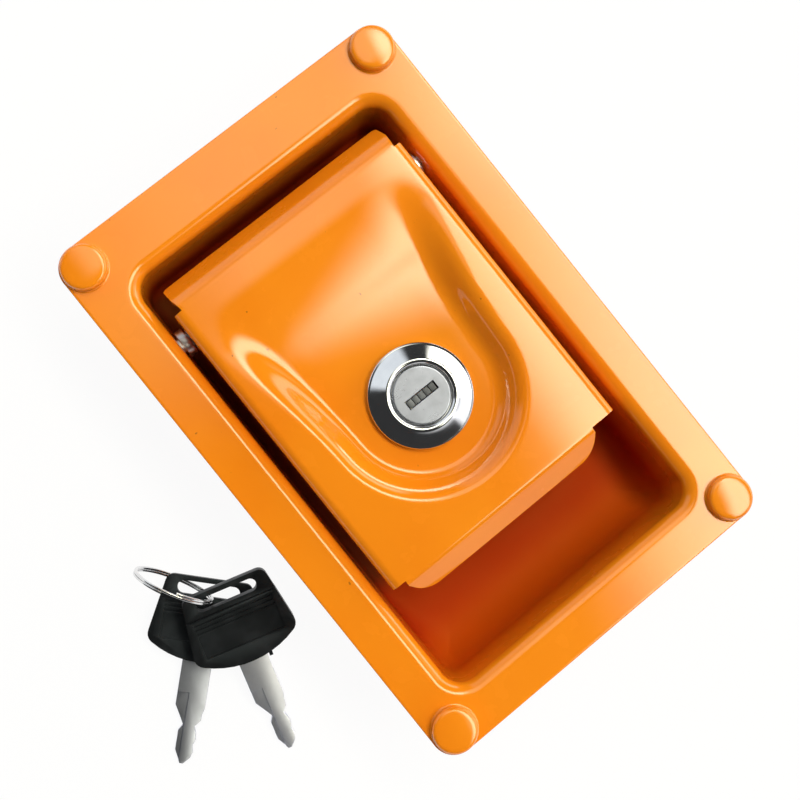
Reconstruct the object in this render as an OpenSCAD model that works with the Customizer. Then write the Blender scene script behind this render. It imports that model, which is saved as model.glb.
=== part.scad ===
// Recessed paddle lock for a machine's side door, lying on its back with the face up.
// +Z points out of the face, +X runs along the hinge pin and +Y points to the hinge end.
// The origin is the centre of the four mounting studs on the back plane of the flange.

/* [Pan] */
// Length of the flange along Y
flange_l = 165; // [160:1:180]
// Width of the flange along X
flange_w = 108; // [106:1:122]
// Corner radius of the flange
flange_r = 6.8; // [4:0.2:9]
// Thickness of the pan's sheet steel
pan_sheet = 1.6; // [1.2:0.1:2]
// Width of the pocket between its walls, just under the rolled rim
pocket_w = 81.5; // [80:0.5:86]
// Length of the pocket between its walls, just under the rolled rim
pocket_l = 135; // [132:1:138]
// How far the pocket sits off the flange's centre towards the hinge end
pocket_shift = -2; // [-3:0.5:0]
// Plan radius of the pocket's corners, just under the rolled rim
pocket_r = 6; // [5.5:0.5:14]
// Outer radius of the rolled rim
rim_r = 3.5; // [2.5:0.25:5.5]
// Inner radius between wall and floor
floor_r = 3; // [2:0.25:3.5]
// How far each wall leans in from rim to floor
wall_draft = 1.5; // [0:0.25:2]
// Depth of the pocket's floor below the flange's back plane
pocket_depth = 24; // [23:0.5:25]
// Width of the window in the floor
window_w = 54; // [53:0.5:57]
// Y of the window's edge at the finger end, which the cam hooks under
window_finger_y = -25; // [-27:0.5:-23]
// Y of the window's edge at the hinge end
window_hinge_y = 54; // [52:0.5:55]
// Corner radius of the window
window_r = 4; // [2:0.5:6]

/* [Mounting studs] */
// Distance of each stud from the flange's two nearest edges
stud_edge = 6.5; // [6.2:0.1:7.5]
// Diameter of a stud's shank
stud_d = 6; // [5:0.5:8]
// How far a stud's collar in the flange stands out from its shank
stud_collar = 0.7; // [0.4:0.1:1]
// Length of a stud below the flange's back plane
stud_l = 18; // [12:1:24]
// Diameter of a stud's head
stud_head_d = 12; // [10:0.5:13]
// Height of a stud's head
stud_head_h = 3.2; // [2:0.2:4.5]
// Edge radius of a stud's head
stud_head_edge = 0.9; // [0.3:0.1:1.5]

/* [Paddle] */
// Gap between each side of the paddle and the pocket's wall, just under the rolled rim
paddle_gap = 3.35; // [3:0.05:4.5]
// Height of the paddle's face above the flange's back plane
paddle_top = 6; // [4:0.5:8]
// Thickness of the paddle's sheet steel
paddle_sheet = 1.6; // [1.2:0.1:2]
// Y of the bend line at the hinge end
hinge_bend_y = 53; // [52:0.5:54]
// Y of the bend line at the free end
free_bend_y = -38; // [-43:0.5:-37]
// Outer bend radius of the sides, the hinge flange and the lip
paddle_bend_r = 2.5; // [2.1:0.1:3.5]
// Slope of the hinge flange below the face, in degrees
hinge_slope = 56; // [40:1:65]
// Slope of the free end's lip below the face, in degrees
lip_slope = 40; // [30:1:60]
// Length of the hinge flange along its slope
hinge_flange_l = 8; // [5:0.5:9]
// Length of the free end's lip along its slope
lip_l = 6; // [4:0.5:8]
// How far the hinge flange stops short of each side
hinge_flange_inset = 1.8; // [1.7:0.1:5]
// How far the lip stops short of each side at its bend
lip_inset = 3.8; // [2.6:0.2:8]
// How far each end of the lip slants in from its bend to its edge
lip_slant = 3.6; // [1:0.2:6]
// Depth of the sides below the face at the free end
side_free_depth = 10; // [6:0.5:12]
// Depth of the sides below the face at the hinge ears
side_ear_depth = 13; // [10:0.5:15]
// Radius of the hinge ears round the pin
ear_r = 6; // [5:0.5:7.5]
// Depth of the recess round the lock
recess_depth = 6.3; // [4:0.1:7]
// Radius of the recess floor round the lock
recess_floor_r = 20; // [18:0.5:22]
// Plan width of the recess's sloping wall
recess_slope_w = 8.4; // [5:0.2:11]
// Length of the level recess floor from the lock's axis towards the hinge
recess_flat_l = 15; // [15:0.5:18]
// Distance from the lock's axis at which the ramp meets the face
recess_fade_l = 41; // [38:0.5:42]

/* [Hinge] */
// Diameter of the hinge pin
pin_d = 5; // [4:0.25:6]
// Y of the hinge pin
pin_y = 46; // [44.5:0.5:47]
// Depth of the hinge pin's axis below the flange's back plane
pin_depth = 8; // [7:0.5:9]
// Length of pin outside each wall of the pan
pin_overhang = 3.6; // [3:0.2:6]
// Outer diameter of the spacer collars on the pin
spacer_d = 8; // [7:0.5:10]
// Outer diameter of the E-clips
clip_d = 10.5; // [8:0.5:12]
// Thickness of the E-clips
clip_t = 0.8; // [0.5:0.1:1.2]
// Wire diameter of the return spring
torsion_wire = 1.4; // [1:0.1:1.6]
// Number of whole turns of the return spring
torsion_turns = 6; // [4:1:7]

/* [Lock] */
// Y of the lock's axis
lock_y = -3.5; // [-6:0.5:-3]
// Diameter of the bezel
bezel_d = 28.2; // [26:0.2:32]
// Height of the bezel's straight edge
bezel_edge_h = 0.8; // [0.4:0.1:1.5]
// Height of the bezel above the recess floor
bezel_h = 5; // [4:0.2:6.5]
// Outer diameter of the raised ring round the plug
ring_outer_d = 19.8; // [18.8:0.2:22]
// Inner diameter of the raised ring round the plug
ring_inner_d = 16.8; // [16.2:0.1:17.4]
// Outer diameter of the threaded barrel
barrel_d = 20; // [19:0.5:22]
// Distance across the barrel's two flats
barrel_flats = 17.8; // [17:0.2:18.6]
// Diameter of the plug's face
plug_face_d = 15.6; // [15:0.1:16]
// Depth of the plug's face under the top of the ring
plug_sink = 0.9; // [0.5:0.1:1.4]
// Height of the plug's wider face disc
plug_face_h = 1.6; // [1:0.1:2]
// Diameter of the plug's body
plug_d = 14; // [13.4:0.2:14.6]
// Length of the key slot across the plug's face
slot_l = 9.4; // [8.8:0.1:10]
// Width of the key slot
slot_w = 2.4; // [2.3:0.1:3]
// Depth of the key slot
slot_depth = 23; // [18:0.5:25]
// Number of wafers in the plug
wafer_count = 5; // [3:1:6]
// Thickness of a wafer
wafer_t = 1; // [0.6:0.1:1.3]
// Distance between wafers
wafer_pitch = 2.6; // [2.2:0.1:3]
// Width of the lock nut across its flats
nut_af = 27; // [25:0.5:30]
// Height of the lock nut
nut_h = 4; // [3:0.5:6]
// Thickness of the lock washer
washer_t = 1; // [0.6:0.1:1.6]
// Reach of the cam from the lock's axis
cam_l = 23.7; // [23:0.1:24]
// Width of the cam's arm
cam_w = 11; // [8:0.5:13]
// Thickness of the cam
cam_t = 2.4; // [1.6:0.1:2.5]
// Side of the plug's square tail
tail_side = 7; // [6:0.5:8]
// Diameter of the cam screw's shank
cam_screw_d = 4; // [3:0.5:5]
// Height of the cam screw's head
cam_screw_head_h = 2.4; // [1.6:0.2:2.6]

/* [Bolt] */
// Width of the slam bolt
bolt_w = 20; // [18:0.5:21]
// Height of the slam bolt
bolt_h = 12; // [11:0.5:12.5]
// Y of the bolt's rear face
bolt_rear_y = 12; // [11:0.5:13]
// Y of the bolt's nose
bolt_nose_y = 78; // [76:0.5:81]
// Length of the bevel on the nose
bevel_l = 12; // [8:0.5:14]
// Height of the blunt edge at the nose
nose_edge = 1.6; // [1:0.2:3]
// Radius from the hinge pin to the drive pin
drive_r = 25.5; // [25:0.25:26]
// Diameter of the drive pin
drive_pin_d = 5; // [4:0.25:5.5]
// Play before the drive pin meets the bolt's slot on the pulling side
drive_play = 0.7; // [0.65:0.05:1]
// Play behind the drive pin in the bolt's slot
drive_back_play = 0.6; // [0.5:0.05:1]
// Thickness of the fork's sheet
fork_sheet = 2; // [1.6:0.1:2.4]
// Width of the fork's arms
fork_arm_w = 9; // [8:0.5:10]
// Thickness of the bolt's guide straps
guide_sheet = 1.5; // [1.2:0.1:1.8]
// Width of a guide's foot
guide_foot = 8; // [6.5:0.5:9]
// Y of the middle of the rear guide
guide_rear_y = 19; // [18:0.5:19.5]
// Length of a guide along the bolt
guide_l = 7.6; // [6:0.2:8]
// Diameter of the rivets that hold the guides
rivet_d = 3; // [2.4:0.2:3.6]
// Diameter of the spring rod
rod_d = 5; // [4:0.25:5.5]
// Y of the spring rod's tip
rod_tip_y = 20; // [17:0.5:21]
// Depth of the bore in the bolt that takes the spring rod
rod_bore_l = 25; // [24.5:0.5:28]
// Wire diameter of the bolt spring
bolt_wire = 1.1; // [0.8:0.1:1.3]
// Number of whole turns of the bolt spring
bolt_turns = 9; // [6:1:11]

/* [Rear tray] */
// Distance from the flange's back plane to the back of the tray
tray_depth = 44; // [43.5:0.25:45]
// Thickness of the tray's sheet
tray_sheet = 1.6; // [1.2:0.1:1.8]
// Width between the tray's side walls
tray_w = 58; // [57:0.5:60]
// Y of the tray's end at the finger end
tray_finger_y = -33; // [-36:0.5:-32.8]
// Y of the tray's end at the hinge end
tray_hinge_y = 60; // [59.8:0.2:60.4]
// Inner bend radius of the tray
tray_bend_r = 1.5; // [0.8:0.1:2.5]
// Width over the tray's feet
tray_feet_w = 71; // [68:0.5:72]

/* [Keys] */
// Greatest width of a key's head
head_w = 30; // [27:0.5:32]
// Width of a key's head at its top
head_top_w = 25; // [23:0.5:26]
// Height of a key's head above the blade's root
head_h = 21.5; // [20.5:0.5:23]
// Thickness of a key's head
head_t = 4.6; // [4:0.1:4.8]
// Thickness of a key's head round the slot for the ring
head_bar_t = 2.6; // [2.2:0.1:2.8]
// Length of the slot for the ring
head_slot_l = 17.8; // [16:0.2:18.5]
// Width of the slot for the ring
head_slot_w = 3.8; // [3.6:0.1:4]
// Height of the slot's middle above the blade's root
head_slot_y = 18.2; // [17.8:0.1:18.4]
// Width of a key's blade
blade_w = 8.4; // [7.6:0.1:8.8]
// Thickness of a key's blade
blade_t = 2.1; // [1.8:0.1:2.2]
// Length of a key's blade outside the head
blade_l = 31; // [28:0.5:31.5]
// Length of the blade's tang inside the head
tang_l = 9; // [6:0.5:10]
// Mean radius of the key ring
key_ring_r = 11.2; // [10.8:0.1:11.4]
// Wire width of the key ring across its radius
key_ring_wire = 1; // [0.8:0.1:1.1]

/* [Clearances] */
// Radial clearance of a running fit
running = 0.06; // [0.02:0.01:0.1]
// Clearance round a fixed piece in its hole
fixed = 0.05; // [0.02:0.01:0.1]
// Gap between pieces that move past each other
slip = 0.3; // [0.25:0.05:0.4]

/* [Hidden] */
$fn = 64;

ORANGE = [0.95, 0.45, 0.05];
ZINC = [0.78, 0.79, 0.8];
STEEL = [0.6, 0.61, 0.63];
CHROME = [0.85, 0.86, 0.88];
SATIN = [0.7, 0.7, 0.69];
BRASS = [0.75, 0.62, 0.32];
BLACK = [0.06, 0.06, 0.065];

// Steps in a right-angle bend of a sheet profile
BEND_STEPS = 8;
// Steps of each rounding in a key head's outline
HEAD_STEPS = 5;
// Cuts in a key blade's two edges from shoulder to tip, as shares of its half width
NEAR_CUTS = [0, 0.12, 0.14, 0.5, 0.34, 0.28, 0.42, 0.34, 0.48];
FAR_CUTS = [0, 0.24, 0.48, 0.7, 0.44, 0.45, 0.44, 0.45, 0.66];
// Share of a blade's length before its cuts begin
SHOULDER = 0.48;
// Milled step of a blade: shares of its thickness, of its half width and of its length
STEP_LEVEL = 0.2;
STEP_REACH = 0.78;
STEP_SHARE = 0.64;
// Facets round a shape that is blended into another
BLEND_FN = 32;
// Overcut that keeps a cutting shape clear of the faces that it passes through
CUT = 1;
// Height of the thin plates that a blended shape is stretched over
SKIN = 0.01;

// Pan
floor_z = -pocket_depth;
floor_back_z = floor_z - pan_sheet;
rim_z = pan_sheet - rim_r;
floor_inset = wall_draft + floor_r;
stud_collar_d = stud_d + 2 * stud_collar;
stud_x = flange_w / 2 - stud_edge;
stud_y = flange_l / 2 - stud_edge;
window_mid_y = (window_finger_y + window_hinge_y) / 2;
window_l = window_hinge_y - window_finger_y;

// Hinge
pin_z = -pin_depth;
pin_r = pin_d / 2;
wall_lean = wall_draft * (rim_z - pin_z) / (rim_z - floor_z - floor_r);
wall_in_x = pocket_w / 2 - wall_lean;
wall_out_x = wall_in_x + pan_sheet;
// The walls lean and roll out under the rim, so collars and clips clear them over their own radius
lean_rate = wall_draft / (rim_z - floor_z - floor_r);
spacer_end_x = wall_in_x - lean_rate * spacer_d / 2;
roll_back_r = rim_r - pan_sheet;
clip_rise = max(0, pin_z + clip_d / 2 - rim_z);
roll_back_x = pocket_w / 2 + rim_r - sqrt(roll_back_r * roll_back_r - clip_rise * clip_rise);
clip_x = max(roll_back_x, wall_out_x + lean_rate * clip_d / 2);
pin_half_l = wall_out_x + pin_overhang;
clip_groove_r = pin_r * 0.8;

// Paddle
paddle_w = pocket_w - 2 * paddle_gap;
paddle_hw = paddle_w / 2;
paddle_under = paddle_top - paddle_sheet;
recess_floor_z = paddle_top - recess_depth;
recess_under_z = recess_floor_z - paddle_sheet;

// Lock
barrel_r = barrel_d / 2;
barrel_end_z = floor_back_z + fixed * 2;
plug_end_z = floor_back_z - slip - 0.1;
cam_low_z = plug_end_z - cam_t;
ring_top_z = recess_floor_z + bezel_h;
plug_face_z = ring_top_z - plug_sink;
counterbore_z = plug_face_z - plug_face_h - slip;
wafer_margin = 1.2;
wafer_size = [slot_l, slot_w] + 2 * [wafer_margin, wafer_margin];
wafer_first_z = plug_face_z - plug_face_h - wafer_margin;
washer_low_z = recess_under_z - washer_t;
nut_low_z = washer_low_z - nut_h;
cam_washer_t = 1;
tail_low_z = cam_low_z + 0.1;

// Bolt
web_z = -tray_depth + tray_sheet;
bolt_low_z = web_z + slip;
bolt_top_z = bolt_low_z + bolt_h;
drive_z = pin_z - drive_r;
drive_pin_r = drive_pin_d / 2;
guide_in_x = bolt_w / 2 + slip;
guide_top_z = bolt_top_z + slip;
guide_front_y = tray_hinge_y - tray_sheet - slip - guide_l / 2;
fork_in_x = guide_in_x + guide_sheet + slip;
fork_out_x = fork_in_x + fork_sheet;
rivet_x = guide_in_x + guide_sheet + guide_foot / 2;
rod_r = rod_d / 2;
rod_z = web_z + 4.9;
rod_bore_r = rod_r + slip + 0.1;
bolt_spring_r = rod_r + slip + bolt_wire / 2 + 0.2;

// Keys: each lies with its tip on the surface under the tray and its head raised
head_low_r = 3.2;
head_low_x = head_w / 2 - head_low_r;
head_low_y = 4.4;
head_top_r = 2.4;
head_flare = 10;
head_belly = 2.2;
// The belly's arc runs on into the round of the head's lower corner
belly_low = head_belly + head_low_y;
belly_r = (head_low_x ^ 2 + belly_low ^ 2 - head_low_r ^ 2) / (2 * (belly_low - head_low_r));
belly_turn = atan2(head_low_x, belly_r - belly_low);
head_rim = 3.4;
head_bar_step = 1.4;
rib_pitch = 1.3;
panel_depth = 0.5;
nub_w = 1;
key_ring_turns = 2;
key_1_place = [-89.8, -22, -tray_depth + 2.5];
key_1_turn = -47.5;
key_1_tilt = 2.4;
key_2_place = [-77.8, -30.2, -tray_depth + 8.6];
key_2_turn = -16.3;
key_2_tilt = 14;
ring_place = [-83, -2.5];
ring_turn = -62;
ring_lean = -8;

// Points of a circular arc about c from angle a0 to a1
function arc(c, r, a0, a1, steps = BEND_STEPS) =
    [for (i = [0:steps]) let (a = a0 + (a1 - a0) * i / steps) c + r * [cos(a), sin(a)]];

function reversed(list) = [for (i = [len(list) - 1:-1:0]) list[i]];

// Closed outline from its right half, whose points run from the middle line back to it
function mirrored(half) = concat(half, [for (p = reversed(half)) [-p[0], p[1]]]);

function unit(v) = v / norm(v);

// Cross-section of a wire with a round or a rectangular outline
function round_wire(d, sides = 8) = [
    for (i = [0:sides - 1]) d / 2 * [cos(360 * i / sides), sin(360 * i / sides)]
];
function flat_wire(w, t) = [[-w, -t] / 2, [w, -t] / 2, [w, t] / 2, [-w, t] / 2];

// Solid swept along a path; the section's second axis stays close to the direction given as up
module swept(path, section, up) {
    n = len(path);
    m = len(section);
    points = [
        for (i = [0:n - 1])
            let (
                along = unit(path[min(i + 1, n - 1)] - path[max(i - 1, 0)]),
                side = unit(cross(along, up)),
                top = cross(side, along)
            )
            for (p = section) path[i] + p[0] * side + p[1] * top
    ];
    sides = [
        for (i = [0:n - 2])
            for (j = [0:m - 1])
                let (k = (j + 1) % m)
                each [
                    [i * m + j, (i + 1) * m + k, (i + 1) * m + j],
                    [i * m + j, i * m + k, (i + 1) * m + k]
                ]
    ];
    caps = [[for (j = [m - 1:-1:0]) j], [for (j = [0:m - 1]) (n - 1) * m + j]];
    polyhedron(points = points, faces = concat(sides, caps), convexity = 10);
}

// Rectangle with true round corners, centred
module rounded_rect(w, l, r) {
    square([w - 2 * r, l], center = true);
    square([w, l - 2 * r], center = true);
    for (x = [-1, 1], y = [-1, 1])
        translate([x * (w / 2 - r), y * (l / 2 - r)])
            circle(r);
}

// Profile drawn in X and Z, extruded along Y from y0 to y1
module along_y(y0, y1) {
    translate([0, y1, 0])
        rotate([90, 0, 0])
            linear_extrude(y1 - y0)
                children();
}

// Profile drawn in Y and Z, extruded along X from x0 to x1
module along_x(x0, x1) {
    translate([x0, 0, 0])
        rotate([90, 0, 90])
            linear_extrude(x1 - x0)
                children();
}

module rod_along_x(x0, x1, r) {
    translate([x0, 0, 0])
        rotate([0, 90, 0])
            cylinder(h = x1 - x0, r = r);
}

module washer(outer_r, inner_r, h) {
    difference() {
        cylinder(h = h, r = outer_r);
        translate([0, 0, -CUT])
            cylinder(h = h + 2 * CUT, r = inner_r);
    }
}

module at_studs() {
    for (x = [-1, 1], y = [-1, 1])
        translate([x * stud_x, y * stud_y, 0])
            children();
}

module at_hinge() {
    translate([0, pin_y, pin_z])
        children();
}

module at_lock() {
    translate([0, lock_y, 0])
        children();
}

// Section of the pan's wall, from the flange over the rolled rim to the floor; x is 0 at the wall's top
module wall_section() {
    rim_c = [rim_r, rim_z];
    foot_c = [-floor_inset, floor_z + floor_r];
    front = concat(arc(rim_c, rim_r, 90, 180), arc(foot_c, floor_r, 0, -90));
    back = concat(arc(rim_c, rim_r - pan_sheet, 90, 180), arc(foot_c, floor_r + pan_sheet, 0, -90));
    polygon(concat(front, reversed(back)));
}

module pan_walls() {
    for (k = [0:3]) {
        out = (k % 2 == 0 ? pocket_w : pocket_l) / 2;
        run = (k % 2 == 0 ? pocket_l : pocket_w) / 2 - pocket_r;
        rotate(90 * k) {
            translate([out, 0, 0])
                along_y(-run, run)
                    wall_section();
            translate([out - pocket_r, run, 0])
                rotate_extrude(angle = 90)
                    translate([pocket_r, 0])
                        wall_section();
        }
    }
}

module pan() {
    color(ORANGE)
        difference() {
            union() {
                linear_extrude(pan_sheet)
                    difference() {
                        rounded_rect(flange_w, flange_l, flange_r);
                        translate([0, pocket_shift])
                            rounded_rect(pocket_w + 2 * rim_r, pocket_l + 2 * rim_r, pocket_r + rim_r);
                    }
                translate([0, pocket_shift, 0]) {
                    pan_walls();
                    translate([0, 0, floor_back_z])
                        linear_extrude(pan_sheet)
                            rounded_rect(pocket_w - 2 * floor_inset, pocket_l - 2 * floor_inset,
                                pocket_r - floor_inset);
                }
            }
            translate([0, window_mid_y, floor_back_z - CUT])
                linear_extrude(pan_sheet + 2 * CUT)
                    rounded_rect(window_w, window_l, window_r);
            at_studs()
                translate([0, 0, -CUT])
                    cylinder(h = pan_sheet + 2 * CUT, d = stud_collar_d + 2 * fixed);
            at_hinge()
                rod_along_x(-flange_w / 2, flange_w / 2, pin_r + fixed);
        }
}

module stud() {
    head_r = stud_head_d / 2;
    translate([0, 0, -stud_l])
        cylinder(h = stud_l, d = stud_d);
    cylinder(h = pan_sheet, d = stud_collar_d);
    translate([0, 0, pan_sheet])
        rotate_extrude()
            polygon(concat(
                [[0, 0], [head_r, 0]],
                arc([head_r - stud_head_edge, stud_head_h - stud_head_edge], stud_head_edge, 0, 90),
                [[0, stud_head_h]]
            ));
}

module mounting_studs() {
    color(ORANGE)
        at_studs()
            stud();
}

// Folded section of the tray: web, side walls and outward feet
module tray_section() {
    wall_x = tray_w / 2;
    inner = tray_bend_r;
    outer = tray_bend_r + tray_sheet;
    low_c = [wall_x - inner, web_z + inner];
    high_c = [wall_x + outer, floor_back_z - outer];
    inside = concat(arc(low_c, inner, -90, 0), arc(high_c, outer, 180, 90));
    outside = concat(arc(low_c, outer, -90, 0), arc(high_c, inner, 180, 90));
    foot_end = [[tray_feet_w / 2, floor_back_z], [tray_feet_w / 2, floor_back_z - tray_sheet]];
    polygon(mirrored(concat(inside, foot_end, reversed(outside))));
}

// End tab of the tray, bent up from the web between the side walls
module tray_end_tab(y0) {
    tab_hw = tray_w / 2 - tray_bend_r;
    translate([-tab_hw, y0, web_z - tray_sheet])
        cube([2 * tab_hw, tray_sheet, floor_back_z - web_z + tray_sheet]);
}

module rear_tray() {
    color(ZINC)
        difference() {
            union() {
                along_y(tray_finger_y, tray_hinge_y)
                    tray_section();
                tray_end_tab(tray_finger_y);
                tray_end_tab(tray_hinge_y - tray_sheet);
            }
            translate([-guide_in_x, tray_hinge_y - tray_sheet - CUT, web_z])
                cube([2 * guide_in_x, tray_sheet + 2 * CUT, guide_top_z - web_z]);
            translate([0, tray_finger_y - CUT, rod_z])
                rotate([-90, 0, 0])
                    cylinder(h = tray_sheet + 2 * CUT, r = rod_r + fixed);
            at_rivets()
                translate([0, 0, -tray_depth - CUT])
                    cylinder(h = tray_sheet + 2 * CUT, d = rivet_d + 2 * fixed);
        }
}

module hinge_pin() {
    groove_w = clip_t + 2 * fixed;
    color(ZINC)
        at_hinge()
            difference() {
                rod_along_x(-pin_half_l, pin_half_l, pin_r);
                for (side = [0, 1])
                    mirror([side, 0, 0])
                        translate([clip_x, 0, 0])
                            difference() {
                                rod_along_x(0, groove_w, pin_r + CUT);
                                rod_along_x(-CUT, groove_w + CUT, clip_groove_r);
                            }
            }
}

module hinge_spacers() {
    inner_x = paddle_hw + slip;
    color(ZINC)
        at_hinge()
            for (side = [0, 1])
                mirror([side, 0, 0])
                    difference() {
                        rod_along_x(inner_x, spacer_end_x, spacer_d / 2);
                        rod_along_x(inner_x - CUT, spacer_end_x + CUT, pin_r + fixed);
                    }
}

// Open clip with three inner teeth that grip the pin's groove
module e_clip() {
    outer_r = clip_d / 2;
    relief_r = outer_r * 0.72;
    linear_extrude(clip_t)
        difference() {
            union() {
                difference() {
                    circle(outer_r);
                    circle(relief_r);
                }
                for (a = [0, 120, 240])
                    rotate(a)
                        translate([clip_groove_r, -clip_d / 10])
                            square([outer_r - clip_groove_r - clip_t / 2, clip_d / 5]);
            }
            circle(clip_groove_r + fixed);
            rotate(180)
                translate([0, -clip_groove_r])
                    square([clip_d, 2 * clip_groove_r]);
        }
}

module pin_clips() {
    color(STEEL)
        at_hinge()
            for (side = [0, 1])
                mirror([side, 0, 0])
                    translate([clip_x + fixed, 0, 0])
                        rotate([90, 0, 90])
                            e_clip();
}

module torsion_spring() {
    coil_r = pin_r + slip + torsion_wire / 2 + 0.4;
    pitch = torsion_wire + 0.2;
    steps_per_turn = 20;
    start_a = 180;
    end_a = start_a + 360 * torsion_turns + 45;
    steps = steps_per_turn * torsion_turns;
    coil_l = pitch * (end_a - start_a) / 360;
    function coil_point(a) = [
        -coil_l / 2 + pitch * (a - start_a) / 360,
        pin_y + coil_r * cos(a),
        pin_z + coil_r * sin(a)
    ];
    first = coil_point(start_a);
    last = coil_point(end_a);
    paddle_leg = [first[0], first[1], paddle_under - fork_sheet - torsion_wire / 2 - fixed];
    leg_drop = last[2] - (floor_z + torsion_wire / 2 + fixed);
    floor_leg = [last[0], last[1] + leg_drop, last[2] - leg_drop];
    coil = [for (i = [0:steps]) coil_point(start_a + (end_a - start_a) * i / steps)];
    color(STEEL)
        swept(concat([paddle_leg], coil, [floor_leg]), round_wire(torsion_wire), [1, 0, 0]);
}

module at_rivets() {
    for (x = [-1, 1], y = [guide_front_y, guide_rear_y])
        translate([x * rivet_x, y, 0])
            children();
}

// Hat section of a guide strap
module guide_section() {
    inner = guide_sheet / 2;
    outer = inner + guide_sheet;
    wall_x = guide_in_x;
    foot_x = guide_in_x + guide_sheet + guide_foot;
    top_c = [wall_x - inner, guide_top_z - inner];
    foot_c = [wall_x + outer, web_z + outer];
    inside = concat(arc(top_c, inner, 90, 0), arc(foot_c, outer, 180, 270));
    outside = concat(arc(top_c, outer, 90, 0), arc(foot_c, inner, 180, 270));
    foot_end = [[foot_x, web_z], [foot_x, web_z + guide_sheet]];
    polygon(mirrored(concat(inside, foot_end, reversed(outside))));
}

module bolt_guide(mid_y) {
    color(ZINC)
        difference() {
            along_y(mid_y - guide_l / 2, mid_y + guide_l / 2)
                guide_section();
            for (x = [-1, 1])
                translate([x * rivet_x, mid_y, web_z - CUT])
                    cylinder(h = guide_sheet + 2 * CUT, d = rivet_d + 2 * fixed);
        }
}

module bolt_guide_front() {
    bolt_guide(guide_front_y);
}

module bolt_guide_rear() {
    bolt_guide(guide_rear_y);
}

module guide_rivets() {
    head_r = rivet_d * 0.9;
    head_h = rivet_d * 0.45;
    color(ZINC)
        at_rivets() {
            translate([0, 0, -tray_depth])
                cylinder(h = tray_sheet + guide_sheet, d = rivet_d);
            translate([0, 0, web_z + guide_sheet])
                rotate_extrude()
                    polygon(concat([[0, 0]], [for (a = [0:15:90]) [head_r * cos(a), head_h * sin(a)]]));
        }
}

module spring_rod() {
    head_h = 2;
    color(ZINC)
        translate([0, 0, rod_z])
            rotate([-90, 0, 0]) {
                translate([0, 0, tray_finger_y])
                    cylinder(h = rod_tip_y - tray_finger_y, r = rod_r);
                translate([0, 0, tray_finger_y - head_h])
                    cylinder(h = head_h, r = rod_r * 1.6);
            }
}

module bolt_spring() {
    steps_per_turn = 14;
    steps = steps_per_turn * bolt_turns;
    y0 = tray_finger_y + tray_sheet + bolt_wire / 2 + fixed;
    y1 = bolt_rear_y - bolt_wire / 2 - fixed;
    path = [
        for (i = [0:steps])
            let (a = 360 * bolt_turns * i / steps, f = i / steps, flat = 1 / bolt_turns)
            let (rise = min(1, max(0, (f - flat) / (1 - 2 * flat))))
            let (closed = (min(f, flat) + max(0, f - 1 + flat)) / flat)
            [
                bolt_spring_r * cos(a),
                y0 + (y1 - y0 - 2 * bolt_wire) * rise + bolt_wire * closed,
                rod_z + bolt_spring_r * sin(a)
            ]
    ];
    color(STEEL)
        swept(path, round_wire(bolt_wire, 6), [0, 1, 0]);
}

// Section of the paddle across X: face and two bent sides
module paddle_section() {
    low = pin_z - ear_r - CUT;
    c = [paddle_hw - paddle_bend_r, paddle_top - paddle_bend_r];
    half_out = concat(arc(c, paddle_bend_r, 90, 0), [[paddle_hw, low]]);
    half_in = concat([[paddle_hw - paddle_sheet, low]], arc(c, paddle_bend_r - paddle_sheet, 0, 90));
    polygon(mirrored(concat(half_out, half_in)));
}

// Side view of the paddle: sides that deepen towards the ears round the hinge pin
module paddle_side_view() {
    low_free = paddle_top - side_free_depth;
    low_ear = paddle_top - side_ear_depth;
    polygon([
        [free_bend_y, paddle_top + CUT],
        [free_bend_y, low_free + paddle_bend_r],
        [free_bend_y + paddle_bend_r, low_free],
        [pin_y - 2 * ear_r, low_ear],
        [pin_y + ear_r, low_ear],
        [hinge_bend_y, paddle_top - 2 * paddle_bend_r],
        [hinge_bend_y, paddle_top + CUT]
    ]);
    translate([pin_y, pin_z])
        circle(ear_r);
}

// Sloping end of the face, drawn in Y and Z with the bend starting at y = 0 and running to +y
module bent_end_section(slope_l, slope) {
    c = [0, paddle_top - paddle_bend_r];
    turned = 90 - slope;
    run = slope_l * [cos(slope), -sin(slope)];
    over = arc(c, paddle_bend_r, 90, turned);
    under = arc(c, paddle_bend_r - paddle_sheet, 90, turned);
    polygon(concat(over, [over[BEND_STEPS] + run, under[BEND_STEPS] + run], reversed(under)));
}

// Lip at the free end, whose ends slant in
module lip() {
    half = paddle_hw - lip_inset;
    reach = lip_l + paddle_bend_r;
    intersection() {
        along_x(-half, half)
            bent_end_section(lip_l, lip_slope);
        translate([0, 0, paddle_under - reach])
            linear_extrude(paddle_top - paddle_under + reach + CUT)
                polygon([
                    [-half, -CUT], [half, -CUT], [half, 0],
                    [half - lip_slant, reach], [lip_slant - half, reach], [-half, 0]
                ]);
    }
}

// Pressed recess: a cone round the lock, a level floor drawn out to the hinge and a ramp to the face.
// Its slopes run on past the face by the height given as over.
module recess_form(grow, drop, over) {
    high = recess_depth + over;
    floor_hw = recess_floor_r + grow;
    top_hw = floor_hw + recess_slope_w * high / recess_depth;
    fade_l = recess_flat_l + (recess_fade_l - recess_flat_l) * high / recess_depth;
    translate([0, lock_y, recess_floor_z - drop])
        hull() {
            cylinder(h = high, r1 = floor_hw, r2 = top_hw, $fn = BLEND_FN);
            translate([-floor_hw, 0, 0])
                cube([2 * floor_hw, recess_flat_l, SKIN]);
            translate([-top_hw, 0, high - SKIN])
                cube([2 * top_hw, fade_l, SKIN]);
        }
}

// Barrel outline with its two flats
module barrel_outline(grow) {
    intersection() {
        circle(barrel_r + grow);
        square([barrel_d + 4 * grow + CUT, barrel_flats + 2 * grow], center = true);
    }
}

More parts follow.
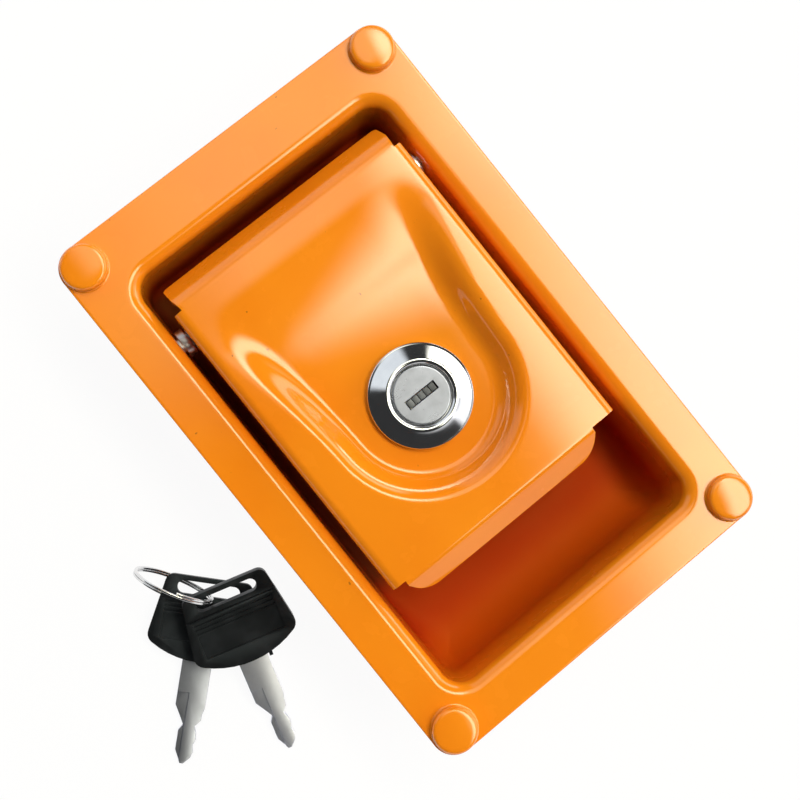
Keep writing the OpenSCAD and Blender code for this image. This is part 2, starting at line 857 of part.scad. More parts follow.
module paddle() {
    color(ORANGE)
        difference() {
            union() {
                intersection() {
                    along_y(free_bend_y, hinge_bend_y)
                        paddle_section();
                    along_x(-paddle_hw - CUT, paddle_hw + CUT)
                        paddle_side_view();
                }
                translate([0, hinge_bend_y, 0])
                    along_x(hinge_flange_inset - paddle_hw, paddle_hw - hinge_flange_inset)
                        bent_end_section(hinge_flange_l, hinge_slope);
                translate([0, free_bend_y, 0])
                    mirror([0, 1, 0])
                        lip();
                recess_form(paddle_sheet / 2, paddle_sheet, 0);
            }
            recess_form(0, 0, CUT);
            at_lock()
                translate([0, 0, recess_under_z - CUT])
                    linear_extrude(paddle_sheet + recess_depth)
                        barrel_outline(fixed * 3);
            at_hinge()
                rod_along_x(-paddle_w, paddle_w, pin_r + running);
        }
}

// Side view of a fork arm: from the paddle's underside past the hinge pin to the drive pin
module fork_arm_view() {
    half = fork_arm_w / 2;
    difference() {
        union() {
            polygon([
                [pin_y - half - 1, paddle_under],
                [pin_y - half - 1, pin_z],
                [pin_y - half, drive_z],
                [pin_y + half, drive_z],
                [pin_y + half, pin_z],
                [pin_y + half, paddle_under]
            ]);
            translate([pin_y, drive_z])
                circle(half);
        }
        translate([pin_y, pin_z])
            circle(pin_r + running);
        translate([pin_y, drive_z])
            circle(drive_pin_r + fixed);
    }
}

module drive_bracket() {
    half = fork_arm_w / 2;
    color(ZINC) {
        for (side = [0, 1])
            mirror([side, 0, 0])
                along_x(fork_in_x, fork_out_x)
                    fork_arm_view();
        translate([-fork_in_x, pin_y - half - 1, paddle_under - fork_sheet])
            cube([2 * fork_in_x, fork_arm_w + 1, fork_sheet]);
    }
}

module drive_pin() {
    head_h = 1.5;
    color(STEEL)
        translate([0, pin_y, drive_z]) {
            rod_along_x(-fork_out_x, fork_out_x, drive_pin_r);
            rod_along_x(fork_out_x, fork_out_x + head_h, drive_pin_r * 1.4);
            rod_along_x(-fork_out_x - head_h, -fork_out_x, drive_pin_r * 1.4);
        }
}

// Turned section of the lock body: sloping bezel, rounded ring, counterbore and bore
module bezel_section() {
    bezel_r = bezel_d / 2;
    ring_out = ring_outer_d / 2;
    ring_in = ring_inner_d / 2;
    ring_half = (ring_out - ring_in) / 2;
    bore_r = plug_d / 2 + running;
    polygon(concat(
        [
            [bore_r, recess_floor_z],
            [bezel_r, recess_floor_z],
            [bezel_r, recess_floor_z + bezel_edge_h],
            [bezel_r - bezel_edge_h / 2, recess_floor_z + 1.5 * bezel_edge_h]
        ],
        arc([ring_in + ring_half, ring_top_z - ring_half], ring_half, 0, 180, 2 * BEND_STEPS),
        [[ring_in, counterbore_z], [bore_r, counterbore_z]]
    ));
}

module lock_body() {
    color(CHROME)
        at_lock() {
            rotate_extrude()
                bezel_section();
            translate([0, 0, barrel_end_z])
                linear_extrude(recess_floor_z - barrel_end_z)
                    difference() {
                        barrel_outline(0);
                        circle(plug_d / 2 + running);
                    }
        }
}

module lock_washer() {
    color(ZINC)
        at_lock()
            translate([0, 0, washer_low_z])
                washer(nut_af / 2, barrel_r + fixed * 2, washer_t);
}

module lock_nut() {
    corner_r = nut_af / 2 / cos(30);
    bevel = nut_h / 4;
    color(ZINC)
        at_lock()
            translate([0, 0, nut_low_z])
                difference() {
                    intersection() {
                        cylinder(h = nut_h, r = corner_r, $fn = 6);
                        rotate_extrude()
                            polygon([
                                [0, 0], [nut_af / 2, 0], [corner_r, bevel], [corner_r, nut_h - bevel],
                                [nut_af / 2, nut_h], [0, nut_h]
                            ]);
                    }
                    translate([0, 0, -CUT])
                        cylinder(h = nut_h + 2 * CUT, r = barrel_r + fixed);
                }
}

module at_wafers() {
    at_lock()
        for (i = [0:wafer_count - 1])
            translate([0, 0, wafer_first_z - wafer_t - i * wafer_pitch])
                children();
}

module lock_plug() {
    color(SATIN)
        difference() {
            at_lock() {
                translate([0, 0, plug_end_z])
                    cylinder(h = plug_face_z - plug_end_z, d = plug_d);
                translate([0, 0, plug_face_z - plug_face_h])
                    cylinder(h = plug_face_h, d = plug_face_d);
                translate([-tail_side / 2, -tail_side / 2, tail_low_z])
                    cube([tail_side, tail_side, plug_end_z - tail_low_z]);
            }
            at_lock()
                translate([-slot_l / 2, -slot_w / 2, plug_face_z - slot_depth])
                    cube([slot_l, slot_w, slot_depth + CUT]);
            at_wafers()
                translate([-wafer_size[0] / 2 - fixed, -wafer_size[1] / 2 - fixed, -fixed])
                    cube([wafer_size[0] + 2 * fixed, wafer_size[1] + 2 * fixed, wafer_t + 2 * fixed]);
            at_lock()
                translate([0, 0, tail_low_z - CUT])
                    cylinder(h = plug_end_z - tail_low_z + 2 * CUT, d = cam_screw_d + 2 * fixed);
        }
}

// Wafers: plates with a window for the key, shorter than the slot so that their ends show in it
module lock_wafers() {
    window = [slot_l - 1.5 * wafer_margin, slot_w - 2 * fixed];
    color(BRASS)
        at_wafers()
            difference() {
                translate([-wafer_size[0] / 2, -wafer_size[1] / 2, 0])
                    cube([wafer_size[0], wafer_size[1], wafer_t]);
                translate([-window[0] / 2, -window[1] / 2, -CUT])
                    cube([window[0], window[1], wafer_t + 2 * CUT]);
            }
}

// Cam plate, drawn at rest with its arm along +X
module lock_cam() {
    hub_r = tail_side * 1.25;
    color(ZINC)
        at_lock()
            translate([0, 0, cam_low_z])
                linear_extrude(cam_t)
                    difference() {
                        union() {
                            circle(hub_r);
                            translate([0, -cam_w / 2])
                                square([cam_l - cam_w / 2, cam_w]);
                            translate([cam_l - cam_w / 2, 0])
                                circle(cam_w / 2);
                        }
                        square(tail_side + 2 * fixed, center = true);
                    }
}

module cam_washer() {
    color(ZINC)
        at_lock()
            translate([0, 0, cam_low_z - cam_washer_t])
                washer(tail_side * 0.85, cam_screw_d / 2 + fixed, cam_washer_t);
}

module cam_screw() {
    head_r = cam_screw_d * 1.05;
    low_z = cam_low_z - cam_washer_t;
    color(ZINC)
        at_lock()
            difference() {
                union() {
                    translate([0, 0, low_z])
                        cylinder(h = plug_end_z - low_z - fixed, d = cam_screw_d);
                    translate([0, 0, low_z - cam_screw_head_h])
                        cylinder(h = cam_screw_head_h, r = head_r);
                }
                translate([0, 0, low_z - cam_screw_head_h - CUT])
                    cylinder(h = cam_screw_head_h / 2 + CUT, r = head_r * 0.6, $fn = 6);
            }
}

module slam_bolt() {
    chamfer = 0.8;
    hw = bolt_w / 2;
    color(STEEL)
        difference() {
            intersection() {
                along_y(bolt_rear_y, bolt_nose_y)
                    polygon([
                        [-hw + chamfer, bolt_low_z], [hw - chamfer, bolt_low_z],
                        [hw, bolt_low_z + chamfer], [hw, bolt_top_z - chamfer],
                        [hw - chamfer, bolt_top_z], [-hw + chamfer, bolt_top_z],
                        [-hw, bolt_top_z - chamfer], [-hw, bolt_low_z + chamfer]
                    ]);
                along_x(-bolt_w, bolt_w)
                    polygon([
                        [bolt_rear_y, bolt_low_z - CUT],
                        [bolt_nose_y - bevel_l, bolt_low_z - CUT],
                        [bolt_nose_y - bevel_l, bolt_low_z],
                        [bolt_nose_y, bolt_top_z - nose_edge],
                        [bolt_nose_y, bolt_top_z + CUT],
                        [bolt_rear_y, bolt_top_z + CUT]
                    ]);
            }
            slot_low_z = drive_z - drive_pin_r - 1.5;
            translate([-bolt_w, pin_y - drive_pin_r - drive_play, slot_low_z])
                cube([2 * bolt_w, drive_pin_d + drive_play + drive_back_play, bolt_h]);
            translate([0, bolt_rear_y - CUT, rod_z])
                rotate([-90, 0, 0])
                    cylinder(h = rod_bore_l + CUT, r = rod_bore_r);
        }
}

// Split ring of flat wire, standing on the surface under the tray
module key_ring() {
    steps_per_turn = 40;
    turn_gap = 0.08;
    axial = 0.65;
    end_lap = 20;
    total = 360 * key_ring_turns - end_lap;
    steps = steps_per_turn * key_ring_turns;
    pitch = axial + turn_gap;
    outer_r = key_ring_r + key_ring_wire / 2;
    half_h = outer_r * cos(ring_lean) + pitch * key_ring_turns / 2 * abs(sin(ring_lean));
    place = [ring_place[0], ring_place[1], -tray_depth + half_h + fixed];
    along = [cos(ring_turn), sin(ring_turn), 0];
    level = [-sin(ring_turn), cos(ring_turn), 0];
    rise = cos(ring_lean) * [0, 0, 1] + sin(ring_lean) * level;
    axis = cross(rise, along);
    path = [
        for (i = [0:steps])
            let (a = 100 + total * i / steps)
            place
                + key_ring_r * (cos(a) * along + sin(a) * rise)
                + pitch * (total * i / steps / 360 - key_ring_turns / 2 + 0.5) * axis
    ];
    color(CHROME)
        swept(path, flat_wire(key_ring_wire, axial), axis);
}

// Half outline of a key's head, whose low end bellies out over the blade's root
function head_half() = concat(
    [
        for (i = [0:HEAD_STEPS - 1])
            let (a = belly_turn * i / HEAD_STEPS)
                [belly_r * sin(a), belly_r * (1 - cos(a)) - head_belly]
    ],
    arc([head_low_x, head_low_y], head_low_r, belly_turn - 90, head_flare, HEAD_STEPS),
    arc([head_top_w / 2 - head_top_r, head_h - head_top_r], head_top_r, head_flare, 90, HEAD_STEPS)
);

module head_outline() {
    polygon(mirrored(head_half()));
}

module key_head() {
    bar_y = head_slot_y - head_slot_w / 2 - head_bar_step;
    panel_w = head_w - 2 * head_rim;
    panel_top_y = bar_y - 3.5 * rib_pitch;
    difference() {
        union() {
            translate([0, 0, -head_bar_t / 2])
                linear_extrude(head_bar_t)
                    head_outline();
            translate([0, 0, -head_t / 2])
                linear_extrude(head_t)
                    intersection() {
                        head_outline();
                        translate([-head_w / 2, -head_h / 2])
                            square([head_w, bar_y + head_h / 2]);
                    }
            translate([blade_w / 2 + nub_w / 2, -head_belly - nub_w, -blade_t / 2])
                cube([nub_w, head_belly + 2 * nub_w, blade_t]);
        }
        translate([0, head_slot_y, -head_t])
            linear_extrude(2 * head_t)
                rounded_rect(head_slot_l, head_slot_w, head_slot_w / 2 - fixed);
        for (face = [0, 1])
            mirror([0, 0, face])
                translate([-panel_w / 2, 0, head_t / 2 - panel_depth]) {
                    translate([0, head_rim, 0])
                        cube([panel_w, panel_top_y - head_rim, head_t]);
                    for (i = [0:2])
                        translate([0, panel_top_y + (i + 0.4) * rib_pitch, 0])
                            cube([panel_w, rib_pitch / 2, head_t]);
                }
        translate([-blade_w / 2 - fixed, -head_h, -blade_t / 2 - fixed])
            cube([blade_w + 2 * fixed, head_h + tang_l + fixed, blade_t + 2 * fixed]);
    }
}

// Points down one edge of a blade, from its shoulder to its last cut
function cut_edge(cuts) = [
    for (i = [0:len(cuts) - 1])
        [blade_w / 2 * (1 - cuts[i]), -blade_l * (SHOULDER + (1 - SHOULDER) * i / len(cuts))]
];

// Blade with cuts in both edges, a pointed tip and a step milled along one edge of each face
module key_blade() {
    hw = blade_w / 2;
    tip_hw = blade_w * 0.06;
    near_edge = concat([[hw, tang_l]], cut_edge(NEAR_CUTS), [[tip_hw, -blade_l]]);
    far_edge = [for (p = concat([[hw, tang_l]], cut_edge(FAR_CUTS), [[tip_hw, -blade_l]])) [-p[0], p[1]]];
    difference() {
        translate([0, 0, -blade_t / 2])
            linear_extrude(blade_t)
                polygon(concat(near_edge, reversed(far_edge)));
        for (face = [0, 1])
            rotate([0, 180 * face, 0])
                translate([-hw - CUT, -blade_l - CUT, blade_t * STEP_LEVEL])
                    cube([hw * STEP_REACH + CUT, blade_l * STEP_SHARE + CUT, blade_t]);
    }
}

module at_key_1() {
    translate(key_1_place)
        rotate([0, 0, key_1_turn])
            rotate([key_1_tilt, 0, 0])
                children();
}

module at_key_2() {
    translate(key_2_place)
        rotate([0, 0, key_2_turn])
            rotate([key_2_tilt, 0, 0])
                children();
}

module key_1_blade() {
    color(CHROME)
        at_key_1()
            key_blade();
}

module key_1_head() {
    color(BLACK)
        at_key_1()
            key_head();
}

module key_2_blade() {
    color(CHROME)
        at_key_2()
            key_blade();
}

module key_2_head() {
    color(BLACK)
        at_key_2()
            key_head();
}

pan();
mounting_studs();
rear_tray();
hinge_pin();
hinge_spacers();
pin_clips();
torsion_spring();
bolt_guide_front();
bolt_guide_rear();
guide_rivets();
spring_rod();
bolt_spring();
paddle();
drive_bracket();
drive_pin();
lock_body();
lock_washer();
lock_nut();
lock_plug();
lock_wafers();
lock_cam();
cam_washer();
cam_screw();
slam_bolt();
key_ring();
key_1_blade();
key_1_head();
key_2_blade();
key_2_head();
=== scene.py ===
import logging
import math
from dataclasses import dataclass, field
from enum import Enum
from typing import Any, ClassVar, Iterable, Mapping, Sequence

import bmesh
import bpy
import numpy as np
from mathutils import Matrix, Vector


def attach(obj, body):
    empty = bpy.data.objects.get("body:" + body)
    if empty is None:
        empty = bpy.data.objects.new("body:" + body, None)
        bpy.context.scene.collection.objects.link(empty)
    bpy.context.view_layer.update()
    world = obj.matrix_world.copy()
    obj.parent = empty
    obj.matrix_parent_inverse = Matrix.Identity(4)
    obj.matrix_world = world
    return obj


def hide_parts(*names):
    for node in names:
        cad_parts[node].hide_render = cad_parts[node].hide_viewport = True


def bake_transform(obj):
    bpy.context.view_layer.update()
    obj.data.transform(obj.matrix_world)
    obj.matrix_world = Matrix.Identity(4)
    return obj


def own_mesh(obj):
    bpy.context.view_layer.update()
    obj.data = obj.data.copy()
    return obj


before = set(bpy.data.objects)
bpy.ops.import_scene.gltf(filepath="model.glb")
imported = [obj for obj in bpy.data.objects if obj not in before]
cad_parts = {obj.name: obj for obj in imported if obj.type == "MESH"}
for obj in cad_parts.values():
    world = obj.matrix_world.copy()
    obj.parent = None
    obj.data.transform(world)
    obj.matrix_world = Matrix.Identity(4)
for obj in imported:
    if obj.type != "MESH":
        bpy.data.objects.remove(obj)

LOG = logging.getLogger("paddle_lock")
MM = 0.001
LOOPS_A_TURN = 6  # loops in one turn of a screw thread
Colour = tuple[float, float, float]
Span = tuple[float, float]
GridLine = tuple[str, float]
Value = Any
Thing = bpy.types.Object


class Body(Enum):
    """Moving groups of the lock."""

    HOUSING = "housing"
    HANDLE = "handle"
    PLUG = "plug"
    BOLT = "bolt"
    KEY_1 = "key_1"
    KEY_2 = "key_2"


class Signal:
    """One value in a shader graph; arithmetic on it adds Math nodes."""

    def __init__(self, graph: "Graph", socket: bpy.types.NodeSocket) -> None:
        self.graph = graph
        self.socket = socket

    def _math(self, operation: str, first: Value, second: Value = 0.0) -> "Signal":
        """Adds a Math node.

        Args:
            operation: The node's operation.
            first: First operand, a number or a signal.
            second: Second operand, a number or a signal.

        Returns:
            The result.
        """
        node = self.graph.node("ShaderNodeMath", {0: first, 1: second}, operation=operation)
        return Signal(self.graph, node.outputs[0])

    def __add__(self, other: Value) -> "Signal":
        return self._math("ADD", self, other)

    def __radd__(self, other: Value) -> "Signal":
        return self._math("ADD", other, self)

    def __sub__(self, other: Value) -> "Signal":
        return self._math("SUBTRACT", self, other)

    def __mul__(self, other: Value) -> "Signal":
        return self._math("MULTIPLY", self, other)

    def __truediv__(self, other: Value) -> "Signal":
        return self._math("DIVIDE", self, other)

    def __abs__(self) -> "Signal":
        return self._math("ABSOLUTE", self)

    def root(self) -> "Signal":
        """Returns the square root of this value."""
        return self._math("SQRT", self)

    def most(self, other: Value) -> "Signal":
        """Returns the greater of this value and another."""
        return self._math("MAXIMUM", self, other)

    def between(self, low: float, high: float, start: float = 0.0, end: float = 1.0) -> "Signal":
        """Maps the range low to high smoothly onto start to end.

        Args:
            low: Value at which the result is start.
            high: Value at which the result is end.
            start: Result at low and below.
            end: Result at high and above.

        Returns:
            The mapped value.
        """
        node = self.graph.node(
            "ShaderNodeMapRange",
            {"Value": self, "From Min": low, "From Max": high, "To Min": start, "To Max": end},
            interpolation_type="SMOOTHSTEP",
        )
        return Signal(self.graph, node.outputs["Result"])


class Graph:
    """A shader node tree that is filled through one generic node method."""

    def __init__(self, tree: bpy.types.NodeTree) -> None:
        self.tree = tree
        tree.nodes.clear()

    def node(self, kind: str, inputs: Mapping[Any, Value] | None = None, **settings: Any) -> bpy.types.Node:
        """Adds a node.

        Args:
            kind: The node's type.
            inputs: Values or signals by socket name, identifier or index.
            settings: The node's own properties.

        Returns:
            The node.
        """
        made = self.tree.nodes.new(kind)
        for key, value in settings.items():
            setattr(made, key, value)
        for key, value in (inputs or {}).items():
            self.connect(self._socket(made, key), value)
        return made

    @staticmethod
    def _socket(node: bpy.types.Node, key: Any) -> bpy.types.NodeSocket:
        """Finds an input socket by index, identifier or name."""
        if isinstance(key, int):
            return node.inputs[key]
        found = [s for s in node.inputs if s.identifier == key] or [s for s in node.inputs if s.name == key]
        return found[0]

    def connect(self, socket: bpy.types.NodeSocket, value: Value) -> None:
        """Links a signal to a socket, or writes a constant on the socket itself."""
        if isinstance(value, Signal):
            self.tree.links.new(value.socket, socket)
        elif isinstance(value, bpy.types.NodeSocket):
            self.tree.links.new(value, socket)
        elif isinstance(value, tuple) and len(value) == 3 and len(socket.default_value) == 4:
            socket.default_value = (*value, 1.0)
        else:
            socket.default_value = value

    def coordinates(self, output: str = "Object") -> Signal:
        """Returns the texture coordinate of that name."""
        return Signal(self, self.node("ShaderNodeTexCoord").outputs[output])

    def split(self, vector: Signal) -> tuple[Signal, Signal, Signal]:
        """Returns the three components of a vector."""
        made = self.node("ShaderNodeSeparateXYZ", {0: vector})
        return tuple(Signal(self, made.outputs[i]) for i in range(3))

    def stretched(self, vector: Signal, scale: tuple[float, float, float]) -> Signal:
        """Returns a vector whose components are scaled."""
        made = self.node("ShaderNodeMapping", {"Vector": vector, "Scale": scale})
        return Signal(self, made.outputs[0])

    def noise(self, vector: Signal, size: float, detail: float) -> Signal:
        """Adds a noise texture.

        Args:
            vector: Coordinates in metres.
            size: Size of the largest features in millimetres.
            detail: Number of finer layers.

        Returns:
            Noise from 0 to 1.
        """
        inputs = {"Vector": vector, "Scale": 1.0 / (size * MM), "Detail": detail}
        return Signal(self, self.node("ShaderNodeTexNoise", inputs).outputs[0])

    def blend(self, first: Value, second: Value, share: Value) -> Signal:
        """Mixes two colours.

        Args:
            first: Colour at share 0.
            second: Colour at share 1.
            share: A number or a signal.

        Returns:
            The mixed colour.
        """
        made = self.node(
            "ShaderNodeMix", {"Factor_Float": share, "A_Color": first, "B_Color": second}, data_type="RGBA"
        )
        return Signal(self, next(s for s in made.outputs if s.identifier == "Result_Color"))

    def bump(self, height: Signal, depth: float) -> Signal:
        """Turns a height from 0 to 1 into a normal; depth is what 1 stands for in millimetres."""
        made = self.node("ShaderNodeBump", {"Height": height, "Distance": depth * MM, "Strength": 1.0})
        return Signal(self, made.outputs[0])


@dataclass(frozen=True)
class Finish:
    """Base of the finishes; each one is one procedural material."""

    name: str
    _made: ClassVar[dict[str, bpy.types.Material]] = {}

    def material(self) -> bpy.types.Material:
        """Returns this finish's material, made once."""
        if self.name not in Finish._made:
            made = bpy.data.materials.new(self.name)
            made.use_nodes = True
            graph = Graph(made.node_tree)
            shader = graph.node("ShaderNodeBsdfPrincipled", self.inputs(graph))
            graph.node("ShaderNodeOutputMaterial", {"Surface": shader.outputs[0]})
            Finish._made[self.name] = made
        return Finish._made[self.name]

    def inputs(self, graph: Graph) -> dict[str, Value]:
        """Returns the shader's inputs by socket name."""
        raise NotImplementedError


@dataclass(frozen=True)
class EnamelPaint(Finish):
    """Glossy enamel with a faint orange peel; where shaded, it carries painted shade: darker and redder deep
    in the pocket, near-black red under the paddle, and duller and without its coat deep in the pocket.

    The spans are in metres. Each runs from where its effect is nothing to where it is full.
    """

    colour: Colour = (0.90, 0.255, 0.008)
    deep: Colour = (0.87, 0.225, 0.006)
    # Painted shade for the pocket: cavity_shade is the darkened floor colour deep in the pocket, scoop the
    # less dark red towards the finger end.
    cavity_shade: Colour = (0.42, 0.027, 0.002)
    scoop: Colour = (0.64, 0.088, 0.003)
    primer: Colour = (0.016, 0.007, 0.005)
    # Painted shade under the paddle: a near-black red for the pan round the paddle's gap.
    under_paddle_shade: Colour = (0.15, 0.020, 0.004)
    sheen: Colour = (1.0, 0.55, 0.12)
    shaded: bool = False
    draft: float = 0.068
    pocket_mid_y: float = -0.0020
    wall_x: Span = (0.0420, 0.0411)
    wall_y: Span = (0.0687, 0.0678)
    floor_z: Span = (-0.0252, -0.0244)
    pocket_shade_z: Span = (-0.0030, -0.0205)
    cavity_shade_y: Span = (-0.0680, -0.0520)
    under_paddle_shade_z: Span = (-0.0120, -0.0190)
    under_paddle_shade_x: Span = (0.0425, 0.0400)
    under_paddle_shade_y: tuple[Span, Span] = ((-0.0420, -0.0340), (0.0660, 0.0600))
    under_paddle_shade_share: float = 0.97
    pocket_shade_rough: float = 0.30

    def inputs(self, graph: Graph) -> dict[str, Value]:
        """Returns the shader's inputs by socket name."""
        place = graph.coordinates()
        x, y, z = graph.split(place)
        tone = graph.noise(place, 42, 3).between(0.36, 0.70)
        colour = graph.blend(self.colour, self.deep, tone)
        specks = graph.noise(place, 2.6, 2).between(0.755, 0.785)
        colour = graph.blend(colour, self.primer, specks * 0.5)
        peel = graph.noise(place, 1.3, 1)
        dents = graph.noise(place, 5, 1)
        wave = graph.noise(place, 17, 1)
        grime = graph.noise(place, 9, 4)
        rough: Signal = grime.between(0.2, 0.8, 0.20, 0.30)
        coat: Value = 1.0
        if self.shaded:
            lean = z * self.draft
            inside = (abs(x) - lean).between(*self.wall_x) * z.between(*self.floor_z)
            inside = inside * (abs(y - self.pocket_mid_y) - lean).between(*self.wall_y)
            # Painted shade: deep in the pocket the colour goes over to the darker painted floor shades, and
            # the coat fades and the gloss dulls there.
            pocket_shade = z.between(*self.pocket_shade_z) * inside
            floor = graph.blend(self.scoop, self.cavity_shade, y.between(*self.cavity_shade_y))
            colour = graph.blend(colour, floor, pocket_shade)
            # Painted shade under the paddle: here the pan's colour goes nearly all the way to the near-black
            # red.
            under = z.between(*self.under_paddle_shade_z) * abs(x).between(*self.under_paddle_shade_x) * inside
            for span in self.under_paddle_shade_y:
                under = under * y.between(*span)
            colour = graph.blend(colour, self.under_paddle_shade, under * self.under_paddle_shade_share)
            rough = rough + pocket_shade * self.pocket_shade_rough
            coat = pocket_shade.between(0.0, 0.9, 1.0, 0.0)
        return {
            "Base Color": colour,
            "Roughness": rough,
            "Normal": graph.bump(peel * 0.05 + dents * 0.12 + wave, 0.10),
            "Coat Weight": coat,
            "Coat Roughness": 0.035,
            "Specular IOR Level": 0.25,
            "Specular Tint": self.sheen,
        }


@dataclass(frozen=True)
class Metal(Finish):
    """Metal with a grain that may run along one axis, and slightly uneven gloss."""

    colour: Colour = (0.7, 0.7, 0.7)
    dull: Colour = (0.5, 0.5, 0.5)
    rough: float = 0.25
    spread: float = 0.10
    grain: tuple[float, float, float] = (1.0, 1.0, 1.0)
    grain_size: float = 0.8
    grain_depth: float = 0.01

    def inputs(self, graph: Graph) -> dict[str, Value]:
        """Returns the shader's inputs by socket name."""
        place = graph.coordinates()
        patches = graph.noise(place, 6, 4)
        lines = graph.noise(graph.stretched(place, self.grain), self.grain_size, 3)
        return {
            "Base Color": graph.blend(self.colour, self.dull, patches.between(0.35, 0.8)),
            "Metallic": 1.0,
            "Roughness": (patches * 0.6 + lines * 0.4).between(
                0.25, 0.75, self.rough - self.spread / 2, self.rough + self.spread / 2
            ),
            "Normal": graph.bump(lines, self.grain_depth),
        }


@dataclass(frozen=True)
class MouldedPlastic(Finish):
    """Plastic with a fine moulded grain."""

    colour: Colour = (0.006, 0.0063, 0.0075)
    worn: Colour = (0.012, 0.0125, 0.015)
    gloss: Colour = (0.70, 0.84, 1.0)
    rough: float = 0.36

    def inputs(self, graph: Graph) -> dict[str, Value]:
        """Returns the shader's inputs by socket name."""
        place = graph.coordinates()
        rub = graph.noise(place, 5, 4)
        grain = graph.noise(place, 0.35, 2)
        return {
            "Base Color": graph.blend(self.colour, self.worn, rub.between(0.4, 0.75)),
            "Roughness": rub.between(0.3, 0.8, self.rough, self.rough + 0.14),
            "Normal": graph.bump(grain, 0.008),
            "Specular IOR Level": 0.28,
            "Specular Tint": self.gloss,
        }


class Finishes:
    """The finishes of this lock; a grain is its scale along each axis, its size and its depth."""

    _ALONG_Y = ((1.0, 0.1, 1.0), 0.5, 0.003)
    # The pan's paint carries painted shade in its pocket and under the paddle.
    PAN = EnamelPaint("orange_enamel_pan", shaded=True)
    PADDLE = EnamelPaint("orange_enamel_paddle")
    ZINC = Metal("zinc_plate", (0.66, 0.67, 0.68), (0.50, 0.51, 0.53), 0.30, 0.14)
    SPRING = Metal("oiled_spring_steel", (0.36, 0.37, 0.39), (0.24, 0.24, 0.25), 0.32, 0.12)
    BOLT = Metal("ground_steel", (0.55, 0.56, 0.58), (0.42, 0.43, 0.45), 0.28, 0.10, (1.0, 0.06, 1.0), 0.5)
    CHROME = Metal("polished_chrome", (0.76, 0.77, 0.79), (0.68, 0.69, 0.72), 0.10, 0.05, grain_depth=0.003)
    SATIN = Metal(
        "satin_die_cast", (0.25, 0.262, 0.32), (0.17, 0.178, 0.215), 0.30, 0.10, (0.3, 1.0, 1.0), 0.5, 0.002
    )
    SHUTTER = Metal("dull_slot_metal", (0.12, 0.125, 0.14), (0.06, 0.062, 0.066), 0.52, 0.10)
    BRASS = Metal("wafer_metal", (0.52, 0.48, 0.36), (0.40, 0.36, 0.26), 0.34, 0.12)
    NICKEL = Metal("nickel_plate", (0.42, 0.438, 0.52), (0.35, 0.365, 0.43), 0.42, 0.08, *_ALONG_Y)
    # A brighter copy of the nickel plate: painted light for the second key's blade, standing in for light
    # that it does not catch.
    BRIGHTENED_NICKEL = Metal("nickel_plate_painted_brighter", (0.68, 0.70, 0.80), (0.57, 0.59, 0.68), 0.42, 0.08, *_ALONG_Y)
    RING = Metal("polished_nickel", (0.80, 0.80, 0.80), (0.68, 0.68, 0.69), 0.13, 0.08)
    PLASTIC = MouldedPlastic("black_plastic")


@dataclass(frozen=True)
class Rect:
    """Rounded rectangle in plan, in millimetres."""

    half_x: float
    half_y: float
    radius: float
    mid_y: float
    z: float

    def points(self, arc_steps: int = 14, side_steps: int = 6) -> np.ndarray:
        """Returns the outline's points, counter-clockwise, always the same number."""
        turn = math.pi / 2 * np.arange(arc_steps + 1) / arc_steps
        reach = np.array([self.half_x - self.radius, self.half_y - self.radius])
        arcs = []
        for k, signs in enumerate(((1, 1), (-1, 1), (-1, -1), (1, -1))):
            a = turn + math.pi / 2 * k
            arcs.append(reach * signs + self.radius * np.column_stack([np.cos(a), np.sin(a)]))
        parts = []
        for k, corner in enumerate(arcs):
            side = np.linspace(corner[-1], arcs[(k + 1) % 4][0], side_steps + 1)[1:-1]
            parts += [corner, side]
        flat = np.concatenate(parts) + (0.0, self.mid_y)
        return np.column_stack([flat, np.full(len(flat), self.z)])


class Shape:
    """Points and faces of one piece, gathered in millimetres."""

    def __init__(self) -> None:
        self.points: list[np.ndarray] = []
        self.faces: list[tuple[int, ...]] = []
        self.count = 0

    @classmethod
    def lofted(cls, loops: Sequence[np.ndarray], joined: bool = False) -> "Shape":
        """Returns a shape that is one loft."""
        made = cls()
        made.loft(loops, joined)
        return made

    def loop(self, points: np.ndarray) -> np.ndarray:
        """Adds points and returns their indices."""
        start = self.count
        self.points.append(np.asarray(points, float))
        self.count += len(points)
        return np.arange(start, self.count)

    def band(self, low: np.ndarray, high: np.ndarray) -> None:
        """Joins two closed loops of the same length by quads."""
        n = len(low)
        for i in range(n):
            j = (i + 1) % n
            self.faces.append((low[i], low[j], high[j], high[i]))

    def loft(self, loops: Sequence[np.ndarray], joined: bool = False) -> None:
        """Adds a skin over closed loops.

        Args:
            loops: Loops with the same number of points.
            joined: Whether the last loop is joined to the first; otherwise both are capped.
        """
        rows = [self.loop(p) for p in loops]
        for low, high in zip(rows, rows[1:]):
            self.band(low, high)
        if joined:
            self.band(rows[-1], rows[0])
        else:
            self.faces.append(tuple(rows[0]))
            self.faces.append(tuple(rows[-1]))

    def to_object(self, name: str, sharp: float = 34.0, bevel: float = 0.0) -> Thing:
        """Makes the object.

        Args:
            name: Name of the piece.
            sharp: Angle in degrees above which an edge is shaded sharp.
            bevel: Width in millimetres of the rounding on sharp edges.

        Returns:
            The object, at the origin.
        """
        mesh = bpy.data.meshes.new(name)
        points = (np.concatenate(self.points) * MM).tolist()
        mesh.from_pydata(points, [], [tuple(map(int, f)) for f in self.faces])
        work = bmesh.new()
        work.from_mesh(mesh)
        bmesh.ops.remove_doubles(work, verts=work.verts, dist=1e-7)
        loose = [v for v in work.verts if not v.link_faces]
        bmesh.ops.delete(work, geom=loose, context="VERTS")
        bmesh.ops.recalc_face_normals(work, faces=work.faces)
        work.to_mesh(mesh)
        work.free()
        made = link(bpy.data.objects.new(name, mesh))
        if bevel:
            add_bevel(made, bevel, sharp)
            made = converted(made, name)
        smooth(made, sharp)
        return made


